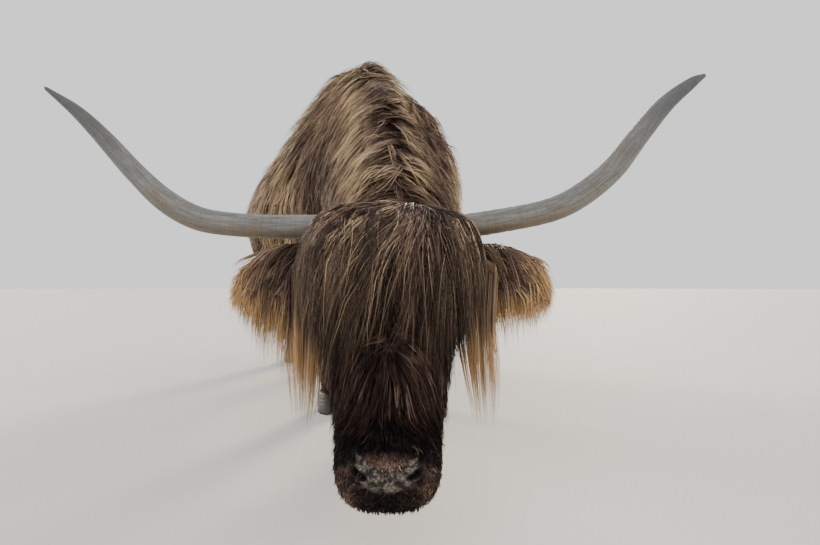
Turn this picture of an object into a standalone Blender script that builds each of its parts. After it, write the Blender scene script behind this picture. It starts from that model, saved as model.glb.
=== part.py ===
"""Highland cow, life size, grazing with its head down, as a still model in named solid pieces.

The solids are the outline of the animal out to the tips of its coat. The cow faces -Y, its left side is
+X and +Z is up. The origin is on the floor under the middle of the model's box.

The flesh is modelled whole, from lofted sections blended into one skin, and parted with thin cuts.
"""

import math
from dataclasses import dataclass

import bmesh
import bpy
import numpy as np
from mathutils import Matrix, Vector

# ---------------------------------------------------------------- driving dimensions, in metres
WITHERS_HEIGHT = 1.138  # top of the coat over the shoulders
BACK_HEIGHT = 1.075  # top of the coat over the loin
BELLY_CLEARANCE = 0.365  # floor to the tips of the belly coat
GIRTH_HALF = 0.400  # half the width over the widest ribs
BREAST_Y = -0.62  # front of the breast
RUMP_Y = 0.88  # back of the rump
HEAD_LENGTH = 0.495  # poll to the front of the lips
HEAD_START = Vector((-0.096, -0.986, 0.492))  # middle of the head at the poll
HEAD_PITCH = math.radians(60)  # the head's length below the level
HEAD_YAW = math.radians(14.5)  # the head is turned to the cow's right
EYE_PLACE = (0.195, 0.030, 0.110)  # along the head, toward its face and to its side
EYE_RADIUS = 0.0205
SOLE_LENGTH = 0.108  # one claw on the floor
SOLE_WIDTH = 0.050
CLEFT_HALF = 0.003  # half the gap between the two claws of a foot
CORONET_HEIGHT = 0.060  # where a claw ends and the leg starts
HIND_X = -0.055  # the middle of the hind quarters, as the back is bent a little
UDDER_CENTRE = Vector((HIND_X, 0.545, 0.475))
UDDER_RADII = (0.095, 0.125, 0.085)
TEAT_RADII = [0.016, 0.0125, 0.007]
TAIL_ROOT = Vector((HIND_X, RUMP_Y - 0.055, 1.02))
TAIL_SPLIT = 0.50  # height where the tail's dock gives way to its switch

NECK_CUT = (Vector((0, -0.535, 0.70)), Vector((0, -0.970, 0.243)))  # a point on the cut and its normal
HEAD_CUT_PLACE = (-0.013, -0.073, 0)  # along the head, toward its face and to its side
HEAD_CUT_TILT = math.radians(42)  # from across the head's length toward its face
JAW_CUT_FACE = -0.058  # the mouth's line, behind the middle of the head
MUZZLE_CUT_ALONG = 0.390
GIRTH_CUT_Y = -0.150
LOIN_CUT_Y = 0.420
LEG_CUT_ACROSS = 0.230  # width of the block that cuts an upper leg out of the trunk
GAP = 0.0005  # between two pieces that meet
CLAW_EDGE = math.radians(40)  # a claw's sole and rim stay sharp
MERGE = 0.00003  # points nearer than this become one after a cut
BIG = 3.0  # side of a cutter, larger than the cow

RING_POINTS = 24  # points round a section of the body
BODY_VOXEL = 0.013
HEAD_VOXEL = 0.008
SHANK_VOXEL = 0.006
UDDER_VOXEL = 0.007
BODY_FACES = 2600  # triangles left in the whole body
HEAD_FACES = 1100
SHANK_FACES = 220
UDDER_FACES = 280
FORELOCK_FACES = 560

COAT_BROWN = (0.20, 0.115, 0.055)
COAT_DARK = (0.07, 0.042, 0.026)
COAT_TAN = (0.42, 0.27, 0.13)
NOSE_GREY = (0.20, 0.17, 0.16)
HORN_GREY = (0.40, 0.37, 0.32)
CLAW_DARK = (0.06, 0.052, 0.045)
EYE_DARK = (0.02, 0.012, 0.008)
UDDER_PINK = (0.45, 0.28, 0.22)


# ---------------------------------------------------------------- scene and material helpers
def clear_scene():
    for found in list(bpy.data.objects):
        bpy.data.objects.remove(found, do_unlink=True)


def collection(name):
    made = bpy.data.collections.new(name)
    bpy.context.scene.collection.children.link(made)
    return made


def material(name, colour, roughness, metallic=0.0):
    made = bpy.data.materials.new(name)
    made.use_nodes = True
    shader = made.node_tree.nodes["Principled BSDF"]
    shader.inputs["Base Color"].default_value = (*colour, 1.0)
    shader.inputs["Roughness"].default_value = roughness
    shader.inputs["Metallic"].default_value = metallic
    return made


def add_object(name, mesh, group):
    made = bpy.data.objects.new(name, mesh)
    group.objects.link(made)
    return made


def helper(name, mesh, group):
    """A cutter or a rough form, which the finished object leaves out."""
    made = add_object(name, mesh, group)
    made.hide_render = True
    made.display_type = "WIRE"
    return made


def evaluated_mesh(made):
    """A plain mesh of the object as its modifiers leave it, in world space."""
    graph = bpy.context.evaluated_depsgraph_get()
    mesh = bpy.data.meshes.new_from_object(made.evaluated_get(graph))
    mesh.transform(made.matrix_world)
    return mesh


def finish_node(made, surface, smooth_angle=math.radians(60)):
    made.data.materials.clear()
    made.data.materials.append(surface)
    made.data.shade_smooth()
    made.data.set_sharp_from_angle(angle=smooth_angle)
    return made


# ---------------------------------------------------------------- sections and lofts
def through(values, steps):
    """Points on a smooth curve through the values, with this many steps between two of them."""
    values = np.asarray(values, float)
    padded = np.vstack([2 * values[0] - values[1], values, 2 * values[-1] - values[-2]])
    found = []
    for before, start, end, after in zip(padded, padded[1:], padded[2:], padded[3:]):
        for step in range(steps):
            t = step / steps
            found.append(
                0.5
                * (
                    2 * start
                    + (end - before) * t
                    + (2 * before - 5 * start + 4 * end - after) * t**2
                    + (3 * start - before - 3 * end + after) * t**3
                )
            )
    found.append(values[-1])
    return np.array(found)


def section(centre, side, rise, drop, round_top=2.0, round_low=2.0, points=RING_POINTS):
    """A closed ring: side, rise and drop are vectors from the centre to its widest, top and low points.

    A power of 2 is an ellipse, one nearer 1 a pointed arch and one over 2 a fuller, squarer form."""
    ring = []
    for index in range(points):
        angle = 2 * math.pi * index / points
        across, along = math.cos(angle), math.sin(angle)
        power = 2 / (round_top if along >= 0 else round_low)
        spread = math.copysign(abs(across) ** power, across)
        reach = abs(along) ** power
        ring.append(centre + side * spread + (rise if along >= 0 else drop) * reach)
    return ring


def loft(rings):
    """A closed mesh through rings of equal numbers of points, with flat ends."""
    made = bmesh.new()
    rows = [[made.verts.new(point) for point in ring] for ring in rings]
    for row, following in zip(rows, rows[1:]):
        for a, b, c, d in zip(row, row[1:] + row[:1], following[1:] + following[:1], following):
            made.faces.new((a, b, c, d))
    made.faces.new(rows[0][::-1])
    made.faces.new(rows[-1])
    bmesh.ops.recalc_face_normals(made, faces=made.faces)
    mesh = bpy.data.meshes.new("loft")
    made.to_mesh(mesh)
    made.free()
    return mesh


@dataclass
class Station:
    """One section of the trunk or neck, by its top and low points in the side view."""

    top: tuple  # y, z
    low: tuple  # y, z
    half: float  # half the width
    widest: float = 0.42  # how far up from the low point it is widest, as a share
    shift: float = 0.0  # sideways
    arch: float = 1.55  # round_top of the section
    belly: float = 2.1  # round_low

    def row(self):
        return [*self.top, *self.low, self.half, self.widest, self.shift, self.arch, self.belly]


def stations_loft(stations, steps=3):
    rings = []
    for y_top, z_top, y_low, z_low, half, widest, shift, arch, belly in through(
        [station.row() for station in stations], steps
    ):
        top, low = Vector((shift, y_top, z_top)), Vector((shift, y_low, z_low))
        centre = low.lerp(top, widest)
        rings.append(section(centre, Vector((half, 0, 0)), top - centre, low - centre, arch, belly))
    return loft(rings)


# ---------------------------------------------------------------- trunk and neck
def trunk_stations():
    low = BELLY_CLEARANCE
    return [
        Station((BREAST_Y, 0.83), (BREAST_Y, 0.56), 0.110, arch=2.0),
        Station((BREAST_Y + 0.06, 0.95), (BREAST_Y + 0.05, 0.44), 0.186, shift=-0.004, arch=1.8),
        Station((-0.46, 1.030), (-0.47, low + 0.015), 0.242, shift=-0.008, arch=1.6),
        Station((-0.36, 1.092), (-0.36, low + 0.005), 0.282, 0.37, -0.012, 1.44),
        Station((-0.24, WITHERS_HEIGHT), (-0.24, low), 0.328, 0.36, -0.022, 1.42),
        Station((-0.10, WITHERS_HEIGHT - 0.010), (-0.10, low), 0.375, 0.36, -0.038, 1.42),
        Station((0.10, BACK_HEIGHT + 0.018), (0.10, low), GIRTH_HALF, 0.36, -0.048, 1.48),
        Station((0.32, BACK_HEIGHT), (0.32, low + 0.02), GIRTH_HALF - 0.005, 0.40, -0.055, 1.6),
        Station((0.54, BACK_HEIGHT + 0.012), (0.54, low + 0.06), 0.350, 0.48, -0.060, 1.85),
        Station((0.70, BACK_HEIGHT + 0.002), (0.70, low + 0.12), 0.305, 0.50, -0.060, 2.0),
        Station((RUMP_Y - 0.07, 1.040), (RUMP_Y - 0.06, low + 0.20), 0.245, 0.52, -0.060, 2.1),
        Station((RUMP_Y, 0.955), (RUMP_Y, low + 0.33), 0.135, 0.5, -0.060, 2.1),
    ]


def neck_stations():
    return [
        Station((-0.36, 1.085), (-0.44, 0.42), 0.245, 0.40, -0.006, 1.42),
        Station((-0.55, 0.965), (-0.62, 0.405), 0.198, 0.42, -0.020, 1.45),
        Station((-0.72, 0.805), (-0.77, 0.335), 0.172, 0.44, -0.042, 1.55),
        Station((-0.88, 0.645), (-0.90, 0.270), 0.154, 0.48, -0.068, 1.65),
        Station((-0.975, 0.545), (-0.970, 0.255), 0.125, 0.50, -0.090, 1.9),
    ]


# ---------------------------------------------------------------- head
def head_axes():
    """The head's own directions: along it to the muzzle, out of its face, and to the cow's left."""
    turn = Matrix.Rotation(-HEAD_YAW, 3, "Z")
    along = turn @ Vector((0, -math.cos(HEAD_PITCH), -math.sin(HEAD_PITCH)))
    face = turn @ Vector((0, -math.sin(HEAD_PITCH), math.cos(HEAD_PITCH)))
    left = turn @ Vector((1, 0, 0))
    return along, face, left


def in_head(along, face, left):
    """A point in the head's own directions, from the middle of the head at the poll."""
    axes = head_axes()
    return HEAD_START + axes[0] * along + axes[1] * face + axes[2] * left


# Along the head, half the width, and the reach to the face and to the jaw.
HEAD_SECTIONS = [
    (-0.030, 0.070, 0.015, 0.070),
    (-0.012, 0.098, 0.045, 0.105),
    (0.030, 0.120, 0.070, 0.130),
    (0.095, 0.128, 0.084, 0.150),
    (0.180, 0.130, 0.088, 0.160),
    (0.265, 0.114, 0.084, 0.145),
    (0.340, 0.100, 0.078, 0.115),
    (0.400, 0.088, 0.068, 0.092),
    (0.447, 0.085, 0.058, 0.078),
    (0.478, 0.072, 0.040, 0.062),
    (HEAD_LENGTH, 0.045, 0.012, 0.035),
]


def head_loft(sections, round_face=2.3, round_jaw=2.0):
    along, face, left = head_axes()
    rings = []
    for distance, half, front, back in through(sections, 3):
        centre = HEAD_START + along * distance
        rings.append(section(centre, left * half, face * front, face * -back, round_face, round_jaw))
    return loft(rings)


# The forelock is a dome of long hair over the poll and forehead, which falls to the middle of the face.
FORELOCK_SECTIONS = [
    (-0.042, 0.050, 0.030, 0.020),
    (-0.026, 0.112, 0.055, 0.050),
    (0.010, 0.150, 0.092, 0.060),
    (0.060, 0.163, 0.112, 0.055),
    (0.125, 0.166, 0.118, 0.040),
    (0.190, 0.160, 0.116, 0.020),
    (0.250, 0.138, 0.108, 0.000),
    (0.290, 0.095, 0.100, -0.040),
    (0.310, 0.040, 0.094, -0.070),
]


def tube(path, radii, steps=4, points=12, flat=1.0):
    """A closed round form along a smooth curve, flattened front to back where flat is under 1."""
    rows = through([[*point, radius] for point, radius in zip(path, radii)], steps)
    rings = []
    for index, row in enumerate(rows):
        before, after = rows[max(index - 1, 0)], rows[min(index + 1, len(rows) - 1)]
        forward = Vector(after[:3] - before[:3]).normalized()
        up = Vector((0, -1, 0)) if abs(forward.y) < 0.9 else Vector((0, 0, 1))
        side = forward.cross(up).normalized()
        up = side.cross(forward)
        centre, radius = Vector(row[:3]), row[3]
        rings.append(section(centre, side * radius, up * radius * flat, up * -radius * flat, points=points))
    return loft(rings)


def side_lock(sign):
    """The long lock that hangs from the temple, in front of the ear, beside the cheek."""
    start = in_head(0.050, 0.020, 0.148 * sign)
    fall = [0.0, 0.10, 0.19, 0.265, 0.305]
    radii = [0.026, 0.034, 0.031, 0.020, 0.006]
    path = [start + Vector((0.012 * sign * drop / 0.3, -0.02 * drop / 0.3, -drop)) for drop in fall]
    return tube(path, radii, flat=0.75)


# A horn's own line from the middle of the poll: outward, upward and forward, and its radius.
HORN_RIGHT = [
    (0.085, 0.004, -0.008, 0.0235),
    (0.152, 0.004, -0.006, 0.0230),
    (0.235, 0.004, -0.002, 0.0228),
    (0.323, 0.010, 0.005, 0.0226),
    (0.374, 0.022, 0.011, 0.0225),
    (0.426, 0.053, 0.016, 0.0218),
    (0.478, 0.103, 0.022, 0.0188),
    (0.528, 0.160, 0.028, 0.0160),
    (0.578, 0.211, 0.033, 0.0118),
    (0.633, 0.253, 0.038, 0.0035),
]
HORN_LEFT = [
    (0.085, 0.000, -0.006, 0.0235),
    (0.144, 0.006, -0.004, 0.0230),
    (0.210, 0.016, 0.001, 0.0229),
    (0.274, 0.028, 0.005, 0.0228),
    (0.322, 0.043, 0.011, 0.0226),
    (0.369, 0.071, 0.017, 0.0225),
    (0.417, 0.113, 0.023, 0.0216),
    (0.462, 0.172, 0.029, 0.0186),
    (0.508, 0.228, 0.035, 0.0158),
    (0.554, 0.266, 0.040, 0.0105),
    (0.578, 0.280, 0.043, 0.0035),
]


def beside_poll(out, up, forward, sign):
    """A point by its level distances from the middle of the poll, on the side that sign gives."""
    left = head_axes()[2]
    return HEAD_START + left * out * sign + Vector((0, 0, up)) + Vector((0, 0, 1)).cross(left) * -forward


def horn(stations, sign):
    path = [beside_poll(*row[:3], sign) for row in stations]
    return tube(path, [row[3] for row in stations], steps=2, points=8)


# An ear with its fringe: outward, its upper edge, its lower edge, forward, and half its thickness.
EAR_RIGHT = [
    (0.100, -0.030, -0.110, -0.010, 0.026),
    (0.140, -0.024, -0.285, 0.008, 0.038),
    (0.175, -0.027, -0.335, 0.016, 0.038),
    (0.215, -0.042, -0.265, 0.018, 0.034),
    (0.250, -0.062, -0.228, 0.018, 0.029),
    (0.275, -0.085, -0.195, 0.018, 0.021),
    (0.290, -0.115, -0.155, 0.018, 0.010),
]
EAR_LEFT = [
    (0.100, -0.030, -0.110, -0.010, 0.026),
    (0.140, -0.022, -0.195, 0.008, 0.038),
    (0.175, -0.022, -0.225, 0.018, 0.039),
    (0.215, -0.029, -0.218, 0.022, 0.036),
    (0.250, -0.042, -0.205, 0.022, 0.031),
    (0.277, -0.065, -0.185, 0.022, 0.023),
    (0.297, -0.100, -0.145, 0.020, 0.010),
]


def ear(stations, sign):
    """Held out level below the horn, drooping at its tip, with long hair hung from its lower edge."""
    rings = []
    for out, upper, lower, forward, thick in through(stations, 2):
        top = beside_poll(out, upper, forward, sign)
        low = beside_poll(out, lower, forward, sign)
        centre = low.lerp(top, 0.6)
        rings.append(section(centre, Vector((0, -thick, 0)), top - centre, low - centre, points=12))
    return loft(rings)


def eye(sign):
    made = bmesh.new()
    bmesh.ops.create_uvsphere(made, u_segments=10, v_segments=7, radius=EYE_RADIUS)
    bmesh.ops.translate(made, verts=made.verts, vec=in_head(EYE_PLACE[0], EYE_PLACE[1], EYE_PLACE[2] * sign))
    mesh = bpy.data.meshes.new("eye")
    made.to_mesh(mesh)
    made.free()
    return mesh


# ---------------------------------------------------------------- legs, feet, udder and tail
@dataclass
class Foot:
    """Where a foot stands, and where its leg is carried."""

    name: str
    x: float
    y: float
    carried_y: float
    sections: list
    split: float  # height of the cut between the upper and the lower leg
    top: float  # height of the cut from the trunk
    cut_along: float  # length of the block that cuts the upper leg out of the trunk


# Height, half across, half along, and how far the section is set back from the line of the leg.
FORELEG = [
    (0.660, 0.105, 0.150, 0.000),
    (0.530, 0.100, 0.142, 0.012),
    (0.430, 0.090, 0.115, 0.010),
    (0.340, 0.072, 0.082, 0.002),
    (0.278, 0.065, 0.070, -0.004),
    (0.200, 0.050, 0.057, 0.004),
    (0.138, 0.048, 0.057, 0.008),
    (0.100, 0.054, 0.064, 0.008),
    (CORONET_HEIGHT, 0.055, 0.060, -0.006),
]
HINDLEG = [
    (0.800, 0.120, 0.200, -0.050),
    (0.670, 0.125, 0.198, -0.045),
    (0.560, 0.108, 0.168, -0.030),
    (0.465, 0.085, 0.118, 0.022),
    (0.385, 0.064, 0.086, 0.058),
    (0.315, 0.058, 0.072, 0.062),
    (0.220, 0.048, 0.057, 0.036),
    (0.142, 0.048, 0.057, 0.020),
    (0.102, 0.054, 0.064, 0.014),
    (CORONET_HEIGHT, 0.055, 0.060, -0.004),
]
FEET = [
    Foot("fore_left", 0.135, -0.470, -0.400, FORELEG, 0.236, 0.462, 0.300),
    Foot("fore_right", -0.130, -0.350, -0.400, FORELEG, 0.236, 0.462, 0.300),
    Foot("hind_left", 0.095, 0.600, 0.655, HINDLEG, 0.262, 0.500, 0.390),
    Foot("hind_right", -0.205, 0.715, 0.655, HINDLEG, 0.262, 0.500, 0.390),
]


def leg_centre(foot, height, set_back):
    """The leg runs straight from its foot to where the trunk carries it."""
    reach = foot.sections[0][0]
    share = height / reach
    return Vector((foot.x, foot.y * (1 - share) + foot.carried_y * share + set_back, height))


def leg_rings(foot, lowest, highest):
    rings = []
    for height, across, along, set_back in through(foot.sections, 4):
        if lowest - 1e-6 <= height <= highest + 1e-6:
            centre = leg_centre(foot, height, set_back)
            rings.append(section(centre, Vector((across, 0, 0)), Vector((0, along, 0)), Vector((0, -along, 0)), points=16))
    return rings


def lower_leg(foot):
    """From inside the upper leg to inside the claws, to be trimmed at both ends."""
    rows = through(foot.sections, 4)
    heights = rows[::-1, 0]
    rings = []
    for height in np.linspace(CORONET_HEIGHT - 0.02, foot.split + 0.02, 9):
        across, along, set_back = (np.interp(height, heights, rows[::-1, k]) for k in (1, 2, 3))
        centre = leg_centre(foot, height, set_back)
        rings.append(section(centre, Vector((across, 0, 0)), Vector((0, along, 0)), Vector((0, -along, 0)), points=14))
    return loft(rings)


def claw(foot, outward):
    """One of the two toes: flat under the sole, pointed in front, straight on the side of the cleft."""
    side = math.copysign(1, foot.x) * outward
    levels = [(0.0, 1.0, 0.0), (0.022, 0.97, 0.006), (CORONET_HEIGHT, 0.80, 0.020)]
    rings = []
    for height, share, back in levels:
        ring = []
        for index in range(12):
            angle = 2 * math.pi * index / 12
            lengthwise, across = -math.cos(angle), math.sin(angle)
            toe = 1.0 if lengthwise > 0 else 1.0 - 0.35 * lengthwise**2
            bulge = SOLE_WIDTH / 2 * (1 + across * toe * (1.0 if across > 0 else 0.96))
            x = foot.x + side * (CLEFT_HALF + bulge * (0.6 + 0.4 * share))
            y = foot.y - 0.004 + back + lengthwise * share * SOLE_LENGTH / 2
            ring.append(Vector((x, y, height)))
        rings.append(ring)
    return loft(rings)


def dewclaw(foot, sideways):
    """A small horny knob behind the fetlock."""
    start = leg_centre(foot, 0.106, 0.0) + Vector((sideways * 0.024, 0.030, 0.0))
    path = [start, start + Vector((0, 0.036, -0.010)), start + Vector((sideways * 0.002, 0.050, -0.022))]
    return tube(path, [0.015, 0.0145, 0.009], steps=2, points=8)




def udder_forms():
    """A full but shallow bag with four short teats, high between the thighs."""
    bag = bmesh.new()
    bmesh.ops.create_uvsphere(bag, u_segments=16, v_segments=12, radius=1.0)
    bmesh.ops.scale(bag, verts=bag.verts, vec=UDDER_RADII)
    bmesh.ops.translate(bag, verts=bag.verts, vec=UDDER_CENTRE)
    mesh = bpy.data.meshes.new("udder_bag")
    bag.to_mesh(mesh)
    bag.free()
    forms = [mesh]
    for across in (-1, 1):
        for along in (-1, 1):
            start = UDDER_CENTRE + Vector((0.040 * across, 0.045 * along, -0.045))
            forms.append(tube([start, start + Vector((0, 0, -0.040)), start + Vector((0, 0, -0.068))], TEAT_RADII, 2))
    return forms


def tail_path(drops):
    """The tail lifts a little at its root, then hangs behind the rump."""
    return [
        TAIL_ROOT + Vector((0.02 * math.sin(drop * 4), 0.085 * (1 - math.exp(-drop / 0.06)), -drop))
        for drop in drops
    ]


def tail():
    drops = [0.0, 0.05, 0.14, 0.28, 0.42, TAIL_ROOT.z - TAIL_SPLIT - GAP]
    return tube(tail_path(drops), [0.036, 0.036, 0.031, 0.028, 0.027, 0.030], steps=2, points=8)


def tail_switch():
    drops = [TAIL_ROOT.z - height for height in (TAIL_SPLIT, 0.44, 0.34, 0.23, 0.14, 0.095)]
    return tube(tail_path(drops), [0.031, 0.045, 0.056, 0.052, 0.030, 0.008], steps=2, points=10)


# ---------------------------------------------------------------- blending and cutting
def blended(name, meshes, voxel, faces, group, smoothing=8):
    """Forms that overlap, as one smooth closed skin of about this many triangles."""
    joined = bmesh.new()
    for mesh in meshes:
        joined.from_mesh(mesh)
    rough = bpy.data.meshes.new(name)
    joined.to_mesh(rough)
    joined.free()
    form = helper(name, rough, group)
    remesh = form.modifiers.new("blend", "REMESH")
    remesh.mode = "VOXEL"
    remesh.voxel_size = voxel
    relax = form.modifiers.new("relax", "SMOOTH")
    relax.factor = 0.5
    relax.iterations = smoothing
    split = form.modifiers.new("triangles", "TRIANGULATE")
    split.min_vertices = 4
    dense = evaluated_mesh(form)
    count = len(dense.polygons)
    fewer = form.modifiers.new("fewer", "DECIMATE")
    fewer.ratio = min(1.0, faces / count)
    form.data = evaluated_mesh(form)
    form.modifiers.clear()
    return form


def boolean(made, operation, cutter):
    step = made.modifiers.new(cutter.name, "BOOLEAN")
    step.operation = operation
    step.solver = "EXACT"
    step.object = cutter


def inflated(source, group, by=GAP):
    """A copy that stands proud all round, to cut room for this piece from its neighbours."""
    grown = helper(source.name + "_room", source.data.copy(), group)
    push = grown.modifiers.new("grow", "DISPLACE")
    push.strength = by
    push.mid_level = 0.0
    grown.data = evaluated_mesh(grown)
    grown.modifiers.clear()
    return grown


def half_space(name, point, normal, group):
    """A big block that fills the side of a plane which the normal points to."""
    made = bmesh.new()
    bmesh.ops.create_cube(made, size=BIG)
    turn = Vector((0, 0, 1)).rotation_difference(normal.normalized()).to_matrix().to_4x4()
    place = Matrix.Translation(point + normal.normalized() * (BIG / 2))
    bmesh.ops.transform(made, matrix=place @ turn, verts=made.verts)
    mesh = bpy.data.meshes.new(name)
    made.to_mesh(mesh)
    made.free()
    return helper(name, mesh, group)


def block(name, low, high, group):
    made = bmesh.new()
    bmesh.ops.create_cube(made, size=1.0)
    bmesh.ops.scale(made, verts=made.verts, vec=high - low)
    bmesh.ops.translate(made, verts=made.verts, vec=(low + high) / 2)
    mesh = bpy.data.meshes.new(name)
    made.to_mesh(mesh)
    made.free()
    return helper(name, mesh, group)


def largest_body(mesh):
    """Drops every loose crumb that a cut leaves beside the piece itself."""
    made = bmesh.new()
    made.from_mesh(mesh)
    left = set(made.verts)
    bodies = []
    while left:
        front = [left.pop()]
        body = set(front)
        while front:
            vertex = front.pop()
            reached = {edge.other_vert(vertex) for edge in vertex.link_edges} & left
            left -= reached
            body |= reached
            front.extend(reached)
        bodies.append(body)
    bodies.sort(key=len)
    crumbs = [vertex for body in bodies[:-1] for vertex in body]
    bmesh.ops.delete(made, geom=crumbs, context="VERTS")
    bmesh.ops.remove_doubles(made, verts=made.verts, dist=MERGE)
    bmesh.ops.dissolve_degenerate(made, edges=made.edges, dist=MERGE)
    bmesh.ops.triangulate(made, faces=made.faces)
    made.to_mesh(mesh)
    made.free()


def cut_piece(name, source, keeps, removes, surface, group):
    """A copy of the source inside every one of keeps and outside every one of removes."""
    made = add_object(name, source.data.copy(), group)
    for operation, cutters in (("INTERSECT", keeps), ("DIFFERENCE", removes)):
        for cutter in cutters:
            boolean(made, operation, cutter)
            made.data = evaluated_mesh(made)
            made.modifiers.clear()
            largest_body(made.data)
    return finish_node(made, surface)


# ---------------------------------------------------------------- the cow
def head_cut():
    along, face, _ = head_axes()
    return in_head(*HEAD_CUT_PLACE), along * math.cos(HEAD_CUT_TILT) + face * math.sin(HEAD_CUT_TILT)


def both_sides(point, normal, group, name):
    """The half space that the normal points into and the one behind it, a gap apart."""
    half_gap = normal.normalized() * (GAP / 2)
    ahead = half_space(name + "_ahead", point + half_gap, normal, group)
    behind = half_space(name + "_behind", point - half_gap, -normal, group)
    return ahead, behind


def leg_block(foot, grow, group, name):
    """The block that holds an upper leg, or with room to grow the hole that the trunk leaves for it."""
    height = (foot.split + foot.top) / 2
    rows = np.array(foot.sections)[::-1]
    middle = leg_centre(foot, height, np.interp(height, rows[:, 0], rows[:, 3])).y
    half = Vector((LEG_CUT_ACROSS / 2 + grow, foot.cut_along / 2 + grow, 0))
    centre = Vector((foot.x, middle, 0))
    bottom = 0.0 if grow else foot.split + GAP
    return block(name, centre - half + Vector((0, 0, bottom)), centre + half + Vector((0, 0, foot.top + grow)), group)


def build_body(cow, helpers, surfaces):
    coat = surfaces["coat"]
    whole = blended(
        "body_whole",
        [stations_loft(trunk_stations()), stations_loft(neck_stations()), head_loft(HEAD_SECTIONS)]
        + [loft(leg_rings(foot, CORONET_HEIGHT, 1.0)) for foot in FEET],
        BODY_VOXEL,
        BODY_FACES,
        helpers,
    )
    rooms = [leg_block(foot, GAP, helpers, "room_" + foot.name) for foot in FEET]
    before_neck, after_neck = both_sides(*NECK_CUT, helpers, "neck_cut")
    _, behind_head = both_sides(*head_cut(), helpers, "head_cut")
    back = Vector((0, 1, 0))
    loin_back, loin_front = both_sides(Vector((0, LOIN_CUT_Y, 0)), back, helpers, "loin_cut")
    girth_back, girth_front = both_sides(Vector((0, GIRTH_CUT_Y, 0)), back, helpers, "girth_cut")
    pieces = {
        "neck": cut_piece("neck", whole, [before_neck, behind_head], [], coat, cow),
        "forequarters": cut_piece("forequarters", whole, [after_neck, girth_front], rooms[:2], coat, cow),
        "barrel": cut_piece("barrel", whole, [girth_back, loin_front], [], coat, cow),
        "hindquarters": cut_piece("hindquarters", whole, [loin_back], rooms[2:], coat, cow),
    }
    for foot in FEET:
        keep = leg_block(foot, 0.0, helpers, "keep_" + foot.name)
        kind, side = foot.name.split("_")
        pieces[foot.name] = cut_piece(f"{kind}leg_upper_{side}", whole, [keep], [], coat, cow)
    room = [inflated(piece, helpers) for name, piece in pieces.items() if name.startswith("hind")]
    bag = blended("udder_form", udder_forms(), UDDER_VOXEL, UDDER_FACES, helpers, smoothing=3)
    cut_piece("udder", bag, [], room, surfaces["udder"], cow)
    return pieces


def build_feet(cow, helpers, coat, horny):
    up = Vector((0, 0, 1))
    for foot in FEET:
        kind, side = foot.name.split("_")
        forms = [lower_leg(foot), dewclaw(foot, 1), dewclaw(foot, -1)]
        whole = blended("shank_" + foot.name, forms, SHANK_VOXEL, SHANK_FACES, helpers, smoothing=3)
        over_claws = half_space("coronet_" + foot.name, Vector((0, 0, CORONET_HEIGHT + GAP)), up, helpers)
        under_knee = half_space("knee_" + foot.name, Vector((0, 0, foot.split)), -up, helpers)
        cut_piece(f"{kind}leg_lower_{side}", whole, [over_claws, under_knee], [], coat, cow)
        for outward, place in ((1, "outer"), (-1, "inner")):
            finish_node(add_object(f"claw_{foot.name}_{place}", claw(foot, outward), cow), horny, CLAW_EDGE)


def build_head(cow, helpers, neck, surfaces):
    whole = blended(
        "head_whole",
        [stations_loft(neck_stations()), head_loft(HEAD_SECTIONS)],
        HEAD_VOXEL,
        HEAD_FACES,
        helpers,
    )
    along, face, _ = head_axes()
    ahead, _ = both_sides(*head_cut(), helpers, "face_cut")
    upper, under = both_sides(in_head(0, JAW_CUT_FACE, 0), face, helpers, "mouth_cut")
    front, rear = both_sides(in_head(MUZZLE_CUT_ALONG, 0, 0), along, helpers, "muzzle_cut")
    eyes = []
    for side, sign in (("left", 1), ("right", -1)):
        eyes.append(finish_node(add_object(f"eye_{side}", eye(sign), cow), surfaces["eye"]))
    sockets = [inflated(found, helpers) for found in eyes]
    skull = cut_piece("head", whole, [ahead, upper, rear], sockets, surfaces["coat"], cow)
    jaw = cut_piece("lower_jaw", whole, [ahead, under], [], surfaces["dark"], cow)
    cut_piece("muzzle", whole, [upper, front], [], surfaces["dark"], cow)
    rooms = [inflated(piece, helpers) for piece in (whole, neck)]
    horns, ears = [], []
    for side, sign, stations in (("left", 1, HORN_LEFT), ("right", -1, HORN_RIGHT)):
        grown = helper("horn_form_" + side, horn(stations, sign), helpers)
        horns.append(cut_piece("horn_" + side, grown, [], rooms[:1], surfaces["horn"], cow))
    horn_rooms = [inflated(piece, helpers) for piece in horns]
    for side, sign, room in (("left", 1, horn_rooms[0]), ("right", -1, horn_rooms[1])):
        stations = EAR_LEFT if sign > 0 else EAR_RIGHT
        shape = helper("ear_form_" + side, ear(stations, sign), helpers)
        ears.append(cut_piece("ear_" + side, shape, [], rooms + [room], surfaces["tan"], cow))
    ear_rooms = [inflated(piece, helpers) for piece in ears]
    dome = blended(
        "forelock_form",
        [head_loft(FORELOCK_SECTIONS, 2.2, 2.0), side_lock(1), side_lock(-1)],
        HEAD_VOXEL,
        FORELOCK_FACES,
        helpers,
        smoothing=4,
    )
    cut_piece("forelock", dome, [], rooms + horn_rooms + ear_rooms + sockets, surfaces["coat"], cow)


def build_tail(cow, helpers, hind, coat):
    room = inflated(hind, helpers)
    shape = helper("tail_form", tail(), helpers)
    cut_piece("tail", shape, [], [room], coat, cow)
    tuft = helper("switch_form", tail_switch(), helpers)
    cut_piece("tail_switch", tuft, [], [room], coat, cow)


def centre_on_floor(group):
    """Moves everything so that the origin is under the middle of the model's box."""
    bpy.context.view_layer.update()
    corners = [found.matrix_world @ Vector(corner) for found in group.objects for corner in found.bound_box]
    low = Vector(min(corner[axis] for corner in corners) for axis in range(3))
    high = Vector(max(corner[axis] for corner in corners) for axis in range(3))
    shift = Vector((-(low.x + high.x) / 2, -(low.y + high.y) / 2, 0))
    for found in group.objects:
        found.data.transform(Matrix.Translation(shift))
    print("moved by", tuple(round(value, 4) for value in shift))


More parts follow.
